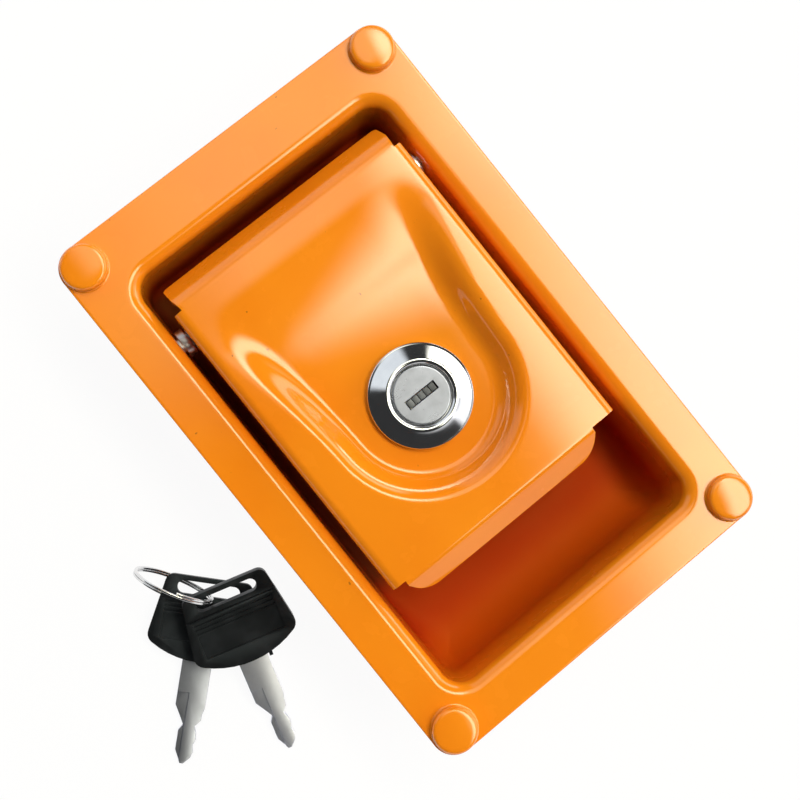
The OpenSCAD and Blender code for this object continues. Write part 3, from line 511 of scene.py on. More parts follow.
def link(obj: Thing) -> Thing:
    """Links an object into the scene and returns it."""
    bpy.context.scene.collection.objects.link(obj)
    return obj


def smooth(obj: Thing, sharp: float) -> None:
    """Shades an object smooth, apart from edges over an angle in degrees."""
    obj.data.shade_smooth()
    obj.data.set_sharp_from_angle(angle=math.radians(sharp))


def add_bevel(obj: Thing, width: float, angle: float, flat: bool = False) -> None:
    """Adds a rounding to sharp edges.

    Args:
        obj: The object.
        width: Width in millimetres.
        angle: Angle in degrees above which an edge is rounded.
        flat: Whether the faces beside the rounding keep their own normals.
    """
    bevel = obj.modifiers.new("rounding", "BEVEL")
    bevel.width = width * MM
    bevel.segments = 3
    bevel.harden_normals = flat
    bevel.limit_method = "ANGLE"
    bevel.angle_limit = math.radians(angle)


def converted(obj: Thing, name: str) -> Thing:
    """Replaces an object by its evaluated mesh.

    Args:
        obj: The object, which is removed.
        name: Name of the new object.

    Returns:
        The new object.
    """
    graph = bpy.context.evaluated_depsgraph_get()
    mesh = bpy.data.meshes.new_from_object(obj.evaluated_get(graph))
    bpy.data.objects.remove(obj)
    mesh.name = name
    return link(bpy.data.objects.new(name, mesh))


def arc(cx: float, cz: float, radius: float, start: float, end: float, steps: int) -> list[Span]:
    """Returns points of a circular arc, its angles in degrees."""
    angles = [math.radians(start + (end - start) * i / steps) for i in range(steps + 1)]
    return [(cx + radius * math.cos(a), cz + radius * math.sin(a)) for a in angles]


def circle(radius: float, z: float, count: int) -> np.ndarray:
    """Returns a level circle of points about the Z axis."""
    a = np.arange(count) * 2 * math.pi / count
    return np.column_stack([radius * np.cos(a), radius * np.sin(a), np.full(count, z)])


def thread(radius: float, depth: float, pitch: float, ends: Span, count: int) -> list[np.ndarray]:
    """Returns the loops of a screw thread.

    Args:
        radius: Outer radius.
        depth: Depth of the thread, which runs out at both ends.
        pitch: Rise in one turn.
        ends: Lower and upper end.
        count: Points in a loop.

    Returns:
        Loops of points about the Z axis.
    """
    low, high = ends
    a = np.arange(count) * 2 * math.pi / count
    loops = []
    for z in np.linspace(low, high, int((high - low) / pitch * LOOPS_A_TURN) + 2):
        phase = (z / pitch - a / (2 * math.pi)) % 1.0
        fade = min(1.0, (z - low) / pitch, (high - z) / pitch)
        r = radius - depth * np.abs(2 * phase - 1) * fade
        loops.append(np.column_stack([r * np.cos(a), r * np.sin(a), np.full(count, z)]))
    return loops


def sweep(path: np.ndarray, section: np.ndarray, up: np.ndarray) -> list[np.ndarray]:
    """Returns loops of a section carried along a path, its second axis close to up."""
    along = np.gradient(path, axis=0)
    along /= np.linalg.norm(along, axis=1)[:, None]
    side = np.cross(along, up)
    side /= np.linalg.norm(side, axis=1)[:, None]
    top = np.cross(side, along)
    return [p + section[:, :1] * s + section[:, 1:] * t for p, s, t in zip(path, side, top)]


class Repeater:
    """Geometry Nodes that set one unit on every point of a mesh."""

    def __init__(self) -> None:
        self.group = bpy.data.node_groups.new("unit_on_points", "GeometryNodeTree")
        face = self.group.interface
        self.sockets = {
            label: face.new_socket(label, in_out="INPUT", socket_type=kind).identifier
            for label, kind in (
                ("Points", "NodeSocketGeometry"),
                ("Unit", "NodeSocketObject"),
                ("Finish", "NodeSocketMaterial"),
            )
        }
        face.new_socket("Pieces", in_out="OUTPUT", socket_type="NodeSocketGeometry")
        nodes, links = self.group.nodes, self.group.links
        start, end = nodes.new("NodeGroupInput"), nodes.new("NodeGroupOutput")
        unit, place = nodes.new("GeometryNodeObjectInfo"), nodes.new("GeometryNodeInstanceOnPoints")
        real, dress = nodes.new("GeometryNodeRealizeInstances"), nodes.new("GeometryNodeSetMaterial")
        for source, output, target, socket in (
            (start, "Points", place, "Points"),
            (start, "Unit", unit, "Object"),
            (unit, "Geometry", place, "Instance"),
            (place, "Instances", real, "Geometry"),
            (real, "Geometry", dress, "Geometry"),
            (start, "Finish", dress, "Material"),
            (dress, "Geometry", end, "Pieces"),
        ):
            links.new(source.outputs[output], target.inputs[socket])

    def repeat(
        self, name: str, unit: Thing, places: Sequence[Sequence[float]], finish: Finish
    ) -> Thing:
        """Sets a unit at places.

        Args:
            name: Name of the piece.
            unit: Object at the origin, which is removed.
            places: Places in millimetres.
            finish: Finish of the pieces.

        Returns:
            The piece, one mesh.
        """
        mesh = bpy.data.meshes.new(name)
        mesh.from_pydata((np.array(places, float) * MM).tolist(), [], [])
        carrier = link(bpy.data.objects.new(name + "_points", mesh))
        nodes = carrier.modifiers.new("repeat", "NODES")
        nodes.node_group = self.group
        nodes[self.sockets["Unit"]] = unit
        nodes[self.sockets["Finish"]] = finish.material()
        made = converted(carrier, name)
        bpy.data.objects.remove(unit)
        return made


class Piece:
    """Hands a finished object over to its body."""

    @staticmethod
    def hand_over(
        obj: Thing, body: Body, slot: str, finish: Finish | None, nodes: Iterable[str]
    ) -> Thing:
        """Gives an object its finish and body.

        Args:
            obj: The object.
            body: Body that it rides on.
            slot: Name of a material slot; not used.
            finish: Its finish, or None where it has one.
            nodes: CAD nodes that it stands for.

        Returns:
            The object.
        """
        if finish is not None:
            obj.data.materials.clear()
            obj.data.materials.append(finish.material())
        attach(obj, body.value)
        names = list(nodes)
        if names:
            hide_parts(*names)
        LOG.info("%s: %d faces on %s", obj.name, len(obj.data.polygons), body.value)
        return obj


@dataclass
class Pan:
    """Pressed pan: flange, rolled rim, drafted walls, floor and the window in it."""

    flange: Span = (54.0, 82.5)
    flange_r: float = 6.8
    sheet: float = 1.6
    edge: float = 0.35
    margin: float = 0.4
    pocket: Span = (40.75, 67.5)
    pocket_mid: float = -2.0
    pocket_r: float = 6.0
    rim_r: float = 3.5
    floor_r: float = 3.0
    scoop_r: float = 9.0
    scoop_y: Span = (-42.0, -62.0)
    draft: float = 1.5
    floor_z: float = -24.0
    window: Span = (27.0, 39.5)
    window_mid: float = 14.5
    window_r: float = 4.0
    window_margin: float = 0.3
    wall_start: Span = (-0.05, -0.5)
    foot_steps: int = 15

    def flange_rect(self, inset: float, z: float) -> np.ndarray:
        """Returns the flange's outline, set in by an amount."""
        return Rect(self.flange[0] - inset, self.flange[1] - inset, self.flange_r - inset, 0, z).points()

    def pocket_rect(self, grow: float, z: float) -> np.ndarray:
        """Returns the pocket's outline, grown from its size under the rim."""
        radius = max(self.edge, self.pocket_r + grow)
        return Rect(self.pocket[0] + grow, self.pocket[1] + grow, radius, self.pocket_mid, z).points()

    def foot_loop(self, turn: float, outer: float) -> np.ndarray:
        """Returns a loop of the rounding at the floor, which widens to a scoop at the finger end.

        Args:
            turn: Angle along the rounding, 0 at the wall and -90 at the floor.
            outer: Depth in the sheet below its inner face.

        Returns:
            The loop's points.
        """
        c, d = math.cos(math.radians(turn)), math.sin(math.radians(turn))
        loops = [
            self.pocket_rect(-self.draft - r + (r + outer) * c, self.floor_z + r + (r + outer) * d)
            for r in (self.floor_r, self.scoop_r)
        ]
        share = np.clip((self.scoop_y[0] - loops[0][:, 1]) / (self.scoop_y[0] - self.scoop_y[1]), 0, 1)
        share = (share * share * (3 - 2 * share))[:, None]
        return loops[0] * (1 - share) + loops[1] * share

    def window_rect(self, grow: float, z: float) -> np.ndarray:
        """Returns the window's outline, grown by an amount."""
        half_x, half_y = self.window
        return Rect(half_x + grow, half_y + grow, self.window_r + grow, self.window_mid, z).points()

    def build(self) -> Thing:
        """Builds the pan as one closed skin."""
        rim_z = self.sheet - self.rim_r
        back_z = self.floor_z - self.sheet
        e = self.edge
        loops = [self.flange_rect(e - p, z) for p, z in arc(0, e, e, -90, 0, 4)]
        loops += [self.flange_rect(e - p, z) for p, z in arc(0, self.sheet - e, e, 0, 90, 4)]
        loops.append(self.flange_rect(e + self.margin, self.sheet))
        loops.append(self.pocket_rect(self.rim_r + self.margin, self.sheet))
        loops += [self.pocket_rect(g, z) for g, z in arc(self.rim_r, rim_z, self.rim_r, 90, 180, 16)]
        loops.append(self.pocket_rect(self.wall_start[0], rim_z + self.wall_start[1]))
        loops += [self.foot_loop(a, 0.0) for a in np.linspace(0, -90, self.foot_steps)]
        loops.append(self.window_rect(e + self.window_margin, self.floor_z))
        loops += [self.window_rect(e - p, z) for p, z in arc(0, self.floor_z - e, e, 90, 0, 4)]
        loops += [self.window_rect(e - p, z) for p, z in arc(0, back_z + e, e, 0, -90, 4)]
        loops += [self.foot_loop(a, self.sheet) for a in np.linspace(-90, 0, self.foot_steps)]
        inner_rim = arc(self.rim_r, rim_z, self.rim_r - self.sheet, 180, 90, 12)
        loops += [self.pocket_rect(g, z) for g, z in inner_rim]
        return Shape.lofted(loops, joined=True).to_object("pan_pressing", sharp=60)

    def dress(self, obj: Thing) -> None:
        """Paints the pan and hands it over."""
        Piece.hand_over(obj, Body.HOUSING, "orange_paint", Finishes.PAN, ["pan"])


@dataclass
class Studs:
    """Mounting studs: domed heads with paint run in round them, and threaded shanks."""

    places: Span = (47.5, 76.0)
    head_r: float = 6.0
    head_low: float = 1.6
    head_high: float = 4.8
    edge: float = 1.0
    crown: float = 0.22
    shank_r: float = 3.0
    shank_end: float = -18.0
    thread_depth: float = 0.5
    thread_pitch: float = 1.0
    thread_top: float = -1.0
    tip: Span = (0.6, 0.1)
    neck: Span = (0.2, 0.3)
    paint_run: float = 0.5
    crown_rings: tuple[float, ...] = (0.85, 0.6, 0.35, 0.12, 0.01)
    sharp: float = 40.0
    count: int = 56

    def build(self, repeater: Repeater) -> Thing:
        """Builds one stud and repeats it at the four corners."""
        run, n = self.paint_run, self.count
        cut, lift = self.tip
        loops = [circle(self.shank_r - cut, self.shank_end, n)]
        loops.append(circle(self.shank_r - self.thread_depth, self.shank_end + lift, n))
        ends = (self.shank_end + cut, self.thread_top)
        loops += thread(self.shank_r, self.thread_depth, self.thread_pitch, ends, n)
        loops += [circle(self.shank_r, self.neck[0], n), circle(self.head_r + run, self.neck[1], n)]
        loops.append(circle(self.head_r + run, self.head_low + 0.01, n))
        foot = arc(self.head_r + run, self.head_low + run, run, -90, -180, 5)
        loops += [circle(r, z, n) for r, z in foot]
        rim_z = self.head_high - self.crown - self.edge
        loops += [circle(r, z, n) for r, z in arc(self.head_r - self.edge, rim_z, self.edge, 0, 82, 7)]
        top_r = self.head_r - self.edge
        for share in self.crown_rings:
            loops.append(circle(top_r * share, self.head_high - self.crown * share**2, n))
        unit = Shape.lofted(loops).to_object("stud_unit", sharp=self.sharp)
        x, y = self.places
        corners = [(sx * x, sy * y, 0) for sx in (-1, 1) for sy in (-1, 1)]
        made = repeater.repeat("mounting_stud_heads", unit, corners, Finishes.PADDLE)
        smooth(made, self.sharp)
        return made

    def dress(self, obj: Thing) -> None:
        """Hands the studs over; they are painted with the pan."""
        Piece.hand_over(obj, Body.HOUSING, "orange_paint", None, ["mounting_studs"])


def eased(share: float, fillet: float) -> float:
    """Ramp from 0 to 1 with rounded ends.

    Args:
        share: Place along the ramp, 0 to 1.
        fillet: Share of the ramp that each rounding takes.

    Returns:
        Height from 0 to 1.
    """
    p = min(1.0, max(0.0, share))
    scale = 2 * fillet * (1 - fillet)
    if p < fillet:
        return p * p / scale
    if p > 1 - fillet:
        return 1 - (1 - p) ** 2 / scale
    return (p - fillet / 2) / (1 - fillet)


@dataclass
class Recess:
    """Pressed recess round the lock, open to a ramp towards the hinge."""

    depth: float = 6.3
    lock_y: float = -3.5
    floor_r: float = 19.7
    wall_w: float = 8.0
    spread: float = 4.2
    flare: float = 3.2
    arms: Span = (-6.0, 36.0)
    arm_curve: float = 1.6
    flat_end: float = 5.0
    fade_end: float = 48.0
    wall_fillet: float = 0.40
    ramp_fillet: float = 0.48

    def drop(self, x: float, y: float) -> float:
        """Returns how far the sheet is pressed down at a place in plan."""
        ahead = y - self.lock_y
        along = max(0.0, min(1.0, (y - self.arms[0]) / (self.arms[1] - self.arms[0]))) ** self.arm_curve
        reach = math.hypot(x, ahead) if ahead < 0 else abs(x) - self.spread * along
        wide = self.wall_w + self.flare * along
        wall = eased((self.floor_r + wide - reach) / wide, self.wall_fillet)
        ramp = eased((self.fade_end - y) / (self.fade_end - self.flat_end), self.ramp_fillet)
        return self.depth * wall * ramp


@dataclass
class Paddle:
    """Pressed paddle: face with the lock's recess, bent sides with hinge ears, hinge flange and lip."""

    half_w: float = 37.4
    top: float = 6.0
    sheet: float = 1.6
    bend_r: float = 2.5
    hinge_bend_r: float = 5.0
    hinge_y: float = 51.7
    free_y: float = -38.0
    hinge_slope: float = 56.0
    lip_slope: float = 40.0
    hinge_l: float = 6.7
    lip_l: float = 6.0
    hinge_half: float = 34.9
    hinge_flare: float = 0.7
    lip_ends: Span = (-33.6, 29.5)
    lip_slant: float = 3.2
    lip_corner: float = 4.0
    hinge_corner: float = 1.2
    pin: Span = (46.0, -8.0)
    ear_r: float = 6.0
    step: float = 0.8
    edge: float = 0.4
    side_y: tuple[float, ...] = (-38, -35.5, 34, 40.2, 51.0, 51.7)
    side_z: tuple[float, ...] = (-1.5, -4, -7, -7.2, -7.2, 1.0)
    crown: float = 0.45
    crown_from: float = 16.0
    recess: Recess = field(default_factory=Recess)

    def fall(self, x: float) -> float:
        """Returns how far the crowned face lies below its middle."""
        return self.crown * (max(0.0, abs(x) - self.crown_from) / (self.half_w - self.crown_from)) ** 2

    def low_edge(self, y: float) -> float:
        """Returns the height of a side's lower edge."""
        line = float(np.interp(y, self.side_y, self.side_z))
        off = abs(y - self.pin[0])
        ear = self.pin[1] - math.sqrt(max(0.0, self.ear_r**2 - off * off)) if off < self.ear_r else line
        return min(line, ear)

    def columns(self) -> list[GridLine]:
        """Returns the grid's columns across the paddle, each as its kind and parameter."""
        half = self.half_w - self.bend_r
        count = int(2 * half / self.step)
        across = set(np.linspace(-half, half, count).round(4))
        across |= set(self.lip_ends)
        face = [("face", x) for x in sorted(across)]
        sides = [("left", f) for f in (1.0, 0.8, 0.6, 0.4, 0.2, 0.06)]
        left = sides + [("left_bend", a) for a in np.linspace(90, 0, 10)[:-1]]
        right = [(k.replace("left", "right"), v) for k, v in reversed(left)]
        return left + face + right

    def rows(self) -> list[GridLine]:
        """Returns the grid's rows along the paddle, each as its kind and parameter."""
        lip = [("lip", v) for v in self.lip_l * (1 - np.linspace(0, 1, 12) ** 1.5)]
        lip_bend = [("lip_bend", a) for a in np.linspace(self.lip_slope, 0, 9)[1:-1]]
        count = int((self.hinge_y - self.free_y) / self.step)
        flat = [("flat", y) for y in np.linspace(self.free_y, self.hinge_y, count)]
        bend = [("hinge_bend", a) for a in np.linspace(0, self.hinge_slope, 9)[1:-1]]
        flange = [("hinge", v) for v in self.hinge_l * np.linspace(0, 1, 12) ** 0.7]
        return lip + lip_bend + flat + bend + flange

    def end_point(self, kind: str, value: float, under: float) -> Span:
        """Returns the run beyond the bend line and the height of a point on a bent end."""
        lip = kind.startswith("lip")
        bend = self.bend_r if lip else self.hinge_bend_r
        r, slope = bend - under, math.radians(self.lip_slope if lip else self.hinge_slope)
        a = math.radians(value) if kind.endswith("bend") else slope
        out, up = r * math.sin(a), self.top - bend + r * math.cos(a)
        if not kind.endswith("bend"):
            out, up = out + value * math.cos(slope), up - value * math.sin(slope)
        return out, up

    def narrowed(self, kind: str, value: float) -> float:
        """Returns by how much a bent end is narrowed by its slanting ends and rounded corners."""
        if kind.endswith("bend"):
            return 0.0 if kind.startswith("lip") else -self.hinge_flare * value / self.hinge_slope
        lip = kind == "lip"
        length, r = (self.lip_l, self.lip_corner) if lip else (self.hinge_l, self.hinge_corner)
        slant = self.lip_slant * value / length if lip else -self.hinge_flare
        near = max(0.0, r - (length - value))
        return slant + r - math.sqrt(max(0.0, r * r - near * near))

    def place(self, column: GridLine, row: GridLine, under: float) -> tuple[float, float, float]:
        """Returns a point of the sheet.

        Args:
            column: Column's kind and parameter.
            row: Row's kind and parameter.
            under: Depth in the sheet below its outer face.

        Returns:
            The point.
        """
        (ckind, c), (rkind, r) = column, row
        if ckind == "face" and rkind != "flat":
            out, z = self.end_point(rkind, r, under)
            lip = rkind.startswith("lip")
            half = abs(self.lip_ends[int(c > 0)]) if lip else self.hinge_half
            x = c * (1 - self.narrowed(rkind, r) / half)
            return x, self.free_y - out if lip else self.hinge_y + out, z - self.fall(c)
        y = r if rkind == "flat" else (self.free_y if rkind.startswith("lip") else self.hinge_y)
        if ckind == "face":
            return c, y, self.top - under - self.recess.drop(c, y) - self.fall(c)
        sign = -1 if ckind.startswith("left") else 1
        mid_x = self.half_w - self.bend_r
        mid_z = self.top - self.bend_r - self.fall(mid_x)
        radius = self.bend_r - under
        if ckind.endswith("bend"):
            a = math.radians(c)
            return sign * (mid_x + radius * math.sin(a)), y, mid_z + radius * math.cos(a)
        return sign * (mid_x + radius), y, mid_z + c * (self.low_edge(y) - mid_z)

    def kept(self, columns: Sequence[GridLine], rows: Sequence[GridLine]) -> bool:
        """Tells whether a grid cell belongs to the sheet."""
        outside = [r[0] for r in rows if r[0] != "flat"]
        if not outside:
            return True
        ends = self.lip_ends if outside[0].startswith("lip") else (-self.hinge_half, self.hinge_half)
        return all(k == "face" and ends[0] - 1e-6 <= x <= ends[1] + 1e-6 for k, x in columns)

    def build(self) -> Thing:
        """Builds the sheet as an outer and an inner grid joined round every free edge."""
        columns, rows = self.columns(), self.rows()
        nc, nr = len(columns), len(rows)
        shape = Shape()
        over = shape.loop([self.place(c, r, 0.0) for r in rows for c in columns]).reshape(nr, nc)
        under = shape.loop([self.place(c, r, self.sheet) for r in rows for c in columns]).reshape(nr, nc)
        cells = {
            (i, j)
            for i in range(nr - 1)
            for j in range(nc - 1)
            if self.kept(columns[j : j + 2], rows[i : i + 2])
        }
        for i, j in cells:
            ring = ((i, j), (i, j + 1), (i + 1, j + 1), (i + 1, j))
            shape.faces.append(tuple(over[p] for p in ring))
            shape.faces.append(tuple(under[p] for p in reversed(ring)))
            for k, (di, dj) in enumerate(((-1, 0), (0, 1), (1, 0), (0, -1))):
                if (i + di, j + dj) not in cells:
                    a, b = ring[k], ring[(k + 1) % 4]
                    shape.faces.append((over[b], over[a], under[a], under[b]))
        return shape.to_object("paddle_pressing", sharp=40, bevel=self.edge)

    def dress(self, obj: Thing) -> None:
        """Paints the paddle and hands it over."""
        Piece.hand_over(obj, Body.HANDLE, "orange_paint", Finishes.PADDLE, ["paddle"])


@dataclass
class Lock:
    """Cam lock: chromed body with its threaded barrel, satin plug, wafers and the bars in the slot."""

    mid: Span = (0.0, -3.5)
    bezel_r: float = 14.1
    seat_z: float = -0.3
    edge_h: float = 1.9
    ring_out: float = 10.2
    ring_in: float = 8.1
    ring_top: float = 4.5
    bore_r: float = 7.06
    counterbore_z: float = 1.9
    barrel_r: float = 10.0
    barrel_flat: float = 8.9
    barrel_end: float = -25.5
    thread_depth: float = 0.55
    thread_pitch: float = 1.5
    foot: Span = (0.55, 0.35)
    edge_r: float = 0.5
    cone_curve: float = 0.92
    cone_rings: tuple[float, ...] = (0.08, 0.25, 0.5, 0.75, 0.92, 1.0)
    face_r: float = 7.8
    face_z: float = 3.8
    face_h: float = 1.6
    plug_r: float = 7.0
    plug_end: float = -26.0
    tail: float = 3.5
    tail_end: float = -28.3
    chamfer: float = 0.3
    face_edge: float = 0.35
    slot: Span = (4.7, 1.2)
    slot_depth: float = 23.0
    wafer: Span = (5.9, 2.4)
    wafer_window: Span = (3.8, 1.15)
    wafer_t: float = 1.0
    wafer_top: float = 1.0
    wafer_pitch: float = 2.6
    wafer_count: int = 5
    bar_drops: tuple[float, ...] = (0.30, 0.42, 0.34, 0.46, 0.30)
    bar_gaps: Span = (0.2, 0.16)
    bar_h: float = 1.2
    bar_split: float = 0.12
    count: int = 112

    def at_lock(self, loop: np.ndarray) -> np.ndarray:
        """Moves points from the Z axis to the lock's axis."""
        return loop + np.array([*self.mid, 0.0])

    def rect(self, half: Span, z: float) -> np.ndarray:
        """Returns a rectangle whose points lie on the same rays as a circle's."""
        a = np.arange(self.count) * 2 * math.pi / self.count
        c, s = np.cos(a), np.sin(a)
        reach = 1 / np.maximum(np.abs(c) / half[0], np.abs(s) / half[1])
        points = np.column_stack([reach * c, reach * s])
        for sx in (-1, 1):
            for sy in (-1, 1):
                corner = np.array([sx * half[0], sy * half[1]])
                points[np.argmin(np.linalg.norm(points - corner, axis=1))] = corner
        return np.column_stack([points, np.full(self.count, z)])

    def build_body(self) -> Thing:
        """Builds the bezel, the raised ring and the threaded barrel as one closed skin."""
        n, half = self.count, (self.ring_out - self.ring_in) / 2
        mid_r, mid_z = self.ring_in + half, self.ring_top - half
        foot_r, foot_z = self.bezel_r - self.foot[0], self.seat_z + self.edge_h + self.foot[1]
        profile = [(self.bore_r, self.counterbore_z), (self.ring_in, self.counterbore_z)]
        profile += arc(mid_r, mid_z, half, 180, 50, 14)
        cone_r, cone_z = profile[-1]
        profile += [
            (cone_r + (foot_r - cone_r) * t, cone_z - (cone_z - foot_z) * t**self.cone_curve)
            for t in self.cone_rings
        ]
        profile += arc(self.bezel_r - self.edge_r, self.seat_z + self.edge_h - 0.1, self.edge_r, 60, 0, 4)
        profile += [(self.bezel_r, self.seat_z), (self.barrel_r, self.seat_z)]
        loops = [circle(r, z, n) for r, z in profile]
        ends = (self.barrel_end + 0.5, self.seat_z - 1.6)
        loops += thread(self.barrel_r, self.thread_depth, self.thread_pitch, ends, n)[::-1]
        loops += [circle(self.barrel_r - 0.6, self.barrel_end, n), circle(self.bore_r, self.barrel_end, n)]
        for loop in loops[len(profile) :]:
            np.clip(loop[:, 1], -self.barrel_flat, self.barrel_flat, out=loop[:, 1])
        shape = Shape.lofted([self.at_lock(p) for p in loops], joined=True)
        return shape.to_object("lock_body_chrome", sharp=50)

    def build_plug(self) -> Thing:
        """Builds the plug: tail, body, face disc and the key slot down into it."""
        n, low = self.count, self.face_z - self.face_h
        tail, tip, slot = (self.tail,) * 2, (self.tail - self.chamfer,) * 2, self.slot
        loops = [self.rect(tip, self.tail_end), self.rect(tail, self.tail_end + self.chamfer)]
        loops += [self.rect(tail, self.plug_end), circle(self.plug_r, self.plug_end, n)]
        loops += [circle(self.plug_r, low, n), circle(self.face_r, low, n)]
        e = self.face_edge
        loops += [circle(r, z, n) for r, z in arc(self.face_r - e, self.face_z - e, e, 0, 90, 4)]
        loops.append(circle(self.face_r - 0.6, self.face_z, n))
        loops += [self.rect((slot[0] + g, slot[1] + g), self.face_z) for g in (0.3, 0.12)]
        loops += [self.rect(slot, self.face_z - 0.12), self.rect(slot, self.face_z - self.slot_depth)]
        return Shape.lofted([self.at_lock(p) for p in loops]).to_object("lock_plug_satin", sharp=30)

    def build_wafers(self, repeater: Repeater) -> Thing:
        """Builds one wafer plate and repeats it down the slot."""
        z0, z1 = 0.0, self.wafer_t
        loops = [self.rect(self.wafer, z0), self.rect(self.wafer, z1)]
        loops += [self.rect(self.wafer_window, z1), self.rect(self.wafer_window, z0)]
        unit = Shape.lofted(loops, joined=True).to_object("wafer_unit", bevel=0.08)
        first = self.wafer_top - self.wafer_t
        places = [(*self.mid, first - i * self.wafer_pitch) for i in range(self.wafer_count)]
        return repeater.repeat("lock_wafer_stack", unit, places, Finishes.BRASS)

    def build_bars(self) -> Thing:
        """Builds the row of bars that fills the slot just under the plug's face."""
        shape = Shape()
        half, wide = (size - gap for size, gap in zip(self.slot, self.bar_gaps))
        low = self.face_z - self.bar_h
        edges = np.linspace(-half, half, len(self.bar_drops) + 1)
        for x0, x1, drop in zip(edges, edges[1:], self.bar_drops):
            high, end = self.face_z - drop, x1 - self.bar_split
            corners = np.array([(x0, -wide), (end, -wide), (end, wide), (x0, wide)])
            shape.loft([self.at_lock(np.column_stack([corners, np.full(4, z)])) for z in (low, high)])
        return shape.to_object("slot_tumbler_bars", bevel=0.07)

    def dress(self, body: Thing, plug: Thing, wafers: Thing, bars: Thing) -> None:
        """Finishes the lock's pieces and hands them over."""
        Piece.hand_over(body, Body.HANDLE, "chrome", Finishes.CHROME, ["lock_body"])
        Piece.hand_over(plug, Body.PLUG, "satin_zinc", Finishes.SATIN, ["lock_plug"])
        Piece.hand_over(wafers, Body.PLUG, "wafer_brass", None, ["lock_wafers"])
        Piece.hand_over(bars, Body.PLUG, "satin_zinc", Finishes.SHUTTER, [])


@dataclass
class Springs:
    """Return spring round the hinge pin and the bolt's compression spring."""

    pin: Span = (46.0, -8.0)
    torsion_r: float = 3.9
    torsion_wire: float = 1.4
    torsion_pitch: float = 1.6
    torsion_turns: float = 6.125
    leg_top: float = 1.65
    leg_floor: float = -23.25
    leg_gap: float = 0.8
    rod_z: float = -37.5
    bolt_r: float = 3.55
    bolt_wire: float = 1.1
    bolt_turns: int = 9
    bolt_ends: Span = (-30.8, 11.4)
    bolt_travel: float = 16.0

    @staticmethod
    def wire(diameter: float, count: int = 12) -> np.ndarray:
        """Returns a round section."""
        return circle(diameter / 2, 0, count)[:, :2]

    def build_torsion(self) -> Thing:
        """Builds the return spring with its leg under the paddle and its leg on the floor."""
        a = math.pi + np.linspace(0, 2 * math.pi * self.torsion_turns, int(40 * self.torsion_turns))
        length = self.torsion_pitch * self.torsion_turns
        x = np.linspace(-length / 2, length / 2, len(a))
        y, z = self.pin[0] + self.torsion_r * np.cos(a), self.pin[1] + self.torsion_r * np.sin(a)
        coil = np.column_stack([x, y, z])
        first, last = coil[0], coil[-1]
        up = [(first[0], first[1], h) for h in np.linspace(self.leg_top, first[2] + self.leg_gap, 5)]
        run = np.linspace(self.leg_gap, last[2] - self.leg_floor, 6)
        down = [(last[0], last[1] + d, last[2] - d) for d in run]
        path = np.concatenate([up, coil, down])
        loops = sweep(path, self.wire(self.torsion_wire), np.array([1.0, 0, 0]))
        return Shape.lofted(loops).to_object("return_spring_coil", sharp=60)

    def build_bolt(self) -> Thing:
        """Builds the bolt spring with closed ends."""
        f = np.linspace(0, 1, 36 * self.bolt_turns)
        flat, (y0, y1), w = 1 / self.bolt_turns, self.bolt_ends, self.bolt_wire
        rise = np.clip((f - flat) / (1 - 2 * flat), 0, 1)
        closed = (np.minimum(f, flat) + np.maximum(0, f - 1 + flat)) / flat
        a = 2 * math.pi * self.bolt_turns * f
        y = y0 + (y1 - y0 - 2 * w) * rise + w * closed
        path = np.column_stack([self.bolt_r * np.cos(a), y, self.rod_z + self.bolt_r * np.sin(a)])
        loops = sweep(path, self.wire(w), np.array([0, 1.0, 0]))
        return Shape.lofted(loops).to_object("bolt_spring_coil", sharp=60)

    def dress(self, torsion: Thing, coil: Thing) -> None:
        """Finishes the springs and hides their CAD nodes; the return spring stays where it is built, the
        bolt spring is attached to the housing.
        """
        for obj, node in ((torsion, "torsion_spring"), (coil, "bolt_spring")):
            obj.data.materials.append(Finishes.SPRING.material())
            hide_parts(node)
            LOG.info("%s: %d faces", obj.name, len(obj.data.polygons))
        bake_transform(torsion)
        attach(coil, Body.HOUSING.value)
        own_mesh(coil)


@dataclass
class KeyRing:
    """Split ring of flat wire that leans on its edge through both key heads."""

    radius: float = 11.2
    wire: Span = (1.0, 0.65)
    pitch: float = 0.73
    total: float = 700.0
    start: float = 100.0
    turns: int = 2
    place: Span = (-83.0, -2.5)
    turn: float = -62.0
    lean: float = -8.0
    floor_z: float = -44.0
    clear: float = 0.05
    edge: float = 0.16
    steps: int = 300

    def build(self) -> Thing:
        """Builds the ring as a sweep of a flat wire with rounded edges."""
        turn, lean = math.radians(self.turn), math.radians(self.lean)
        outer = self.radius + self.wire[0] / 2
        half = outer * math.cos(lean) + self.pitch * self.turns / 2 * abs(math.sin(lean))
        centre = np.array([*self.place, self.floor_z + half + self.clear])
        along = np.array([math.cos(turn), math.sin(turn), 0])
        level = np.array([-math.sin(turn), math.cos(turn), 0])
        rise = math.cos(lean) * np.array([0, 0, 1.0]) + math.sin(lean) * level
        axis = np.cross(rise, along)
        f = np.linspace(0, 1, self.steps)[:, None]
        a = np.radians(self.start + self.total * f)
        climb = self.pitch * (self.total * f / 360 - self.turns / 2 + 0.5)
        path = centre + self.radius * (np.cos(a) * along + np.sin(a) * rise) + climb * axis
        w, t = self.wire[0] / 2, self.wire[1] / 2
        section = Rect(w, t, self.edge, 0, 0).points(4, 2)[:, :2]
        return Shape.lofted(sweep(path, section, axis)).to_object("key_split_ring", sharp=60)

    def dress(self, obj: Thing) -> None:
        """Hands the ring over."""
        Piece.hand_over(obj, Body.HOUSING, "ring_steel", Finishes.RING, ["key_ring"])


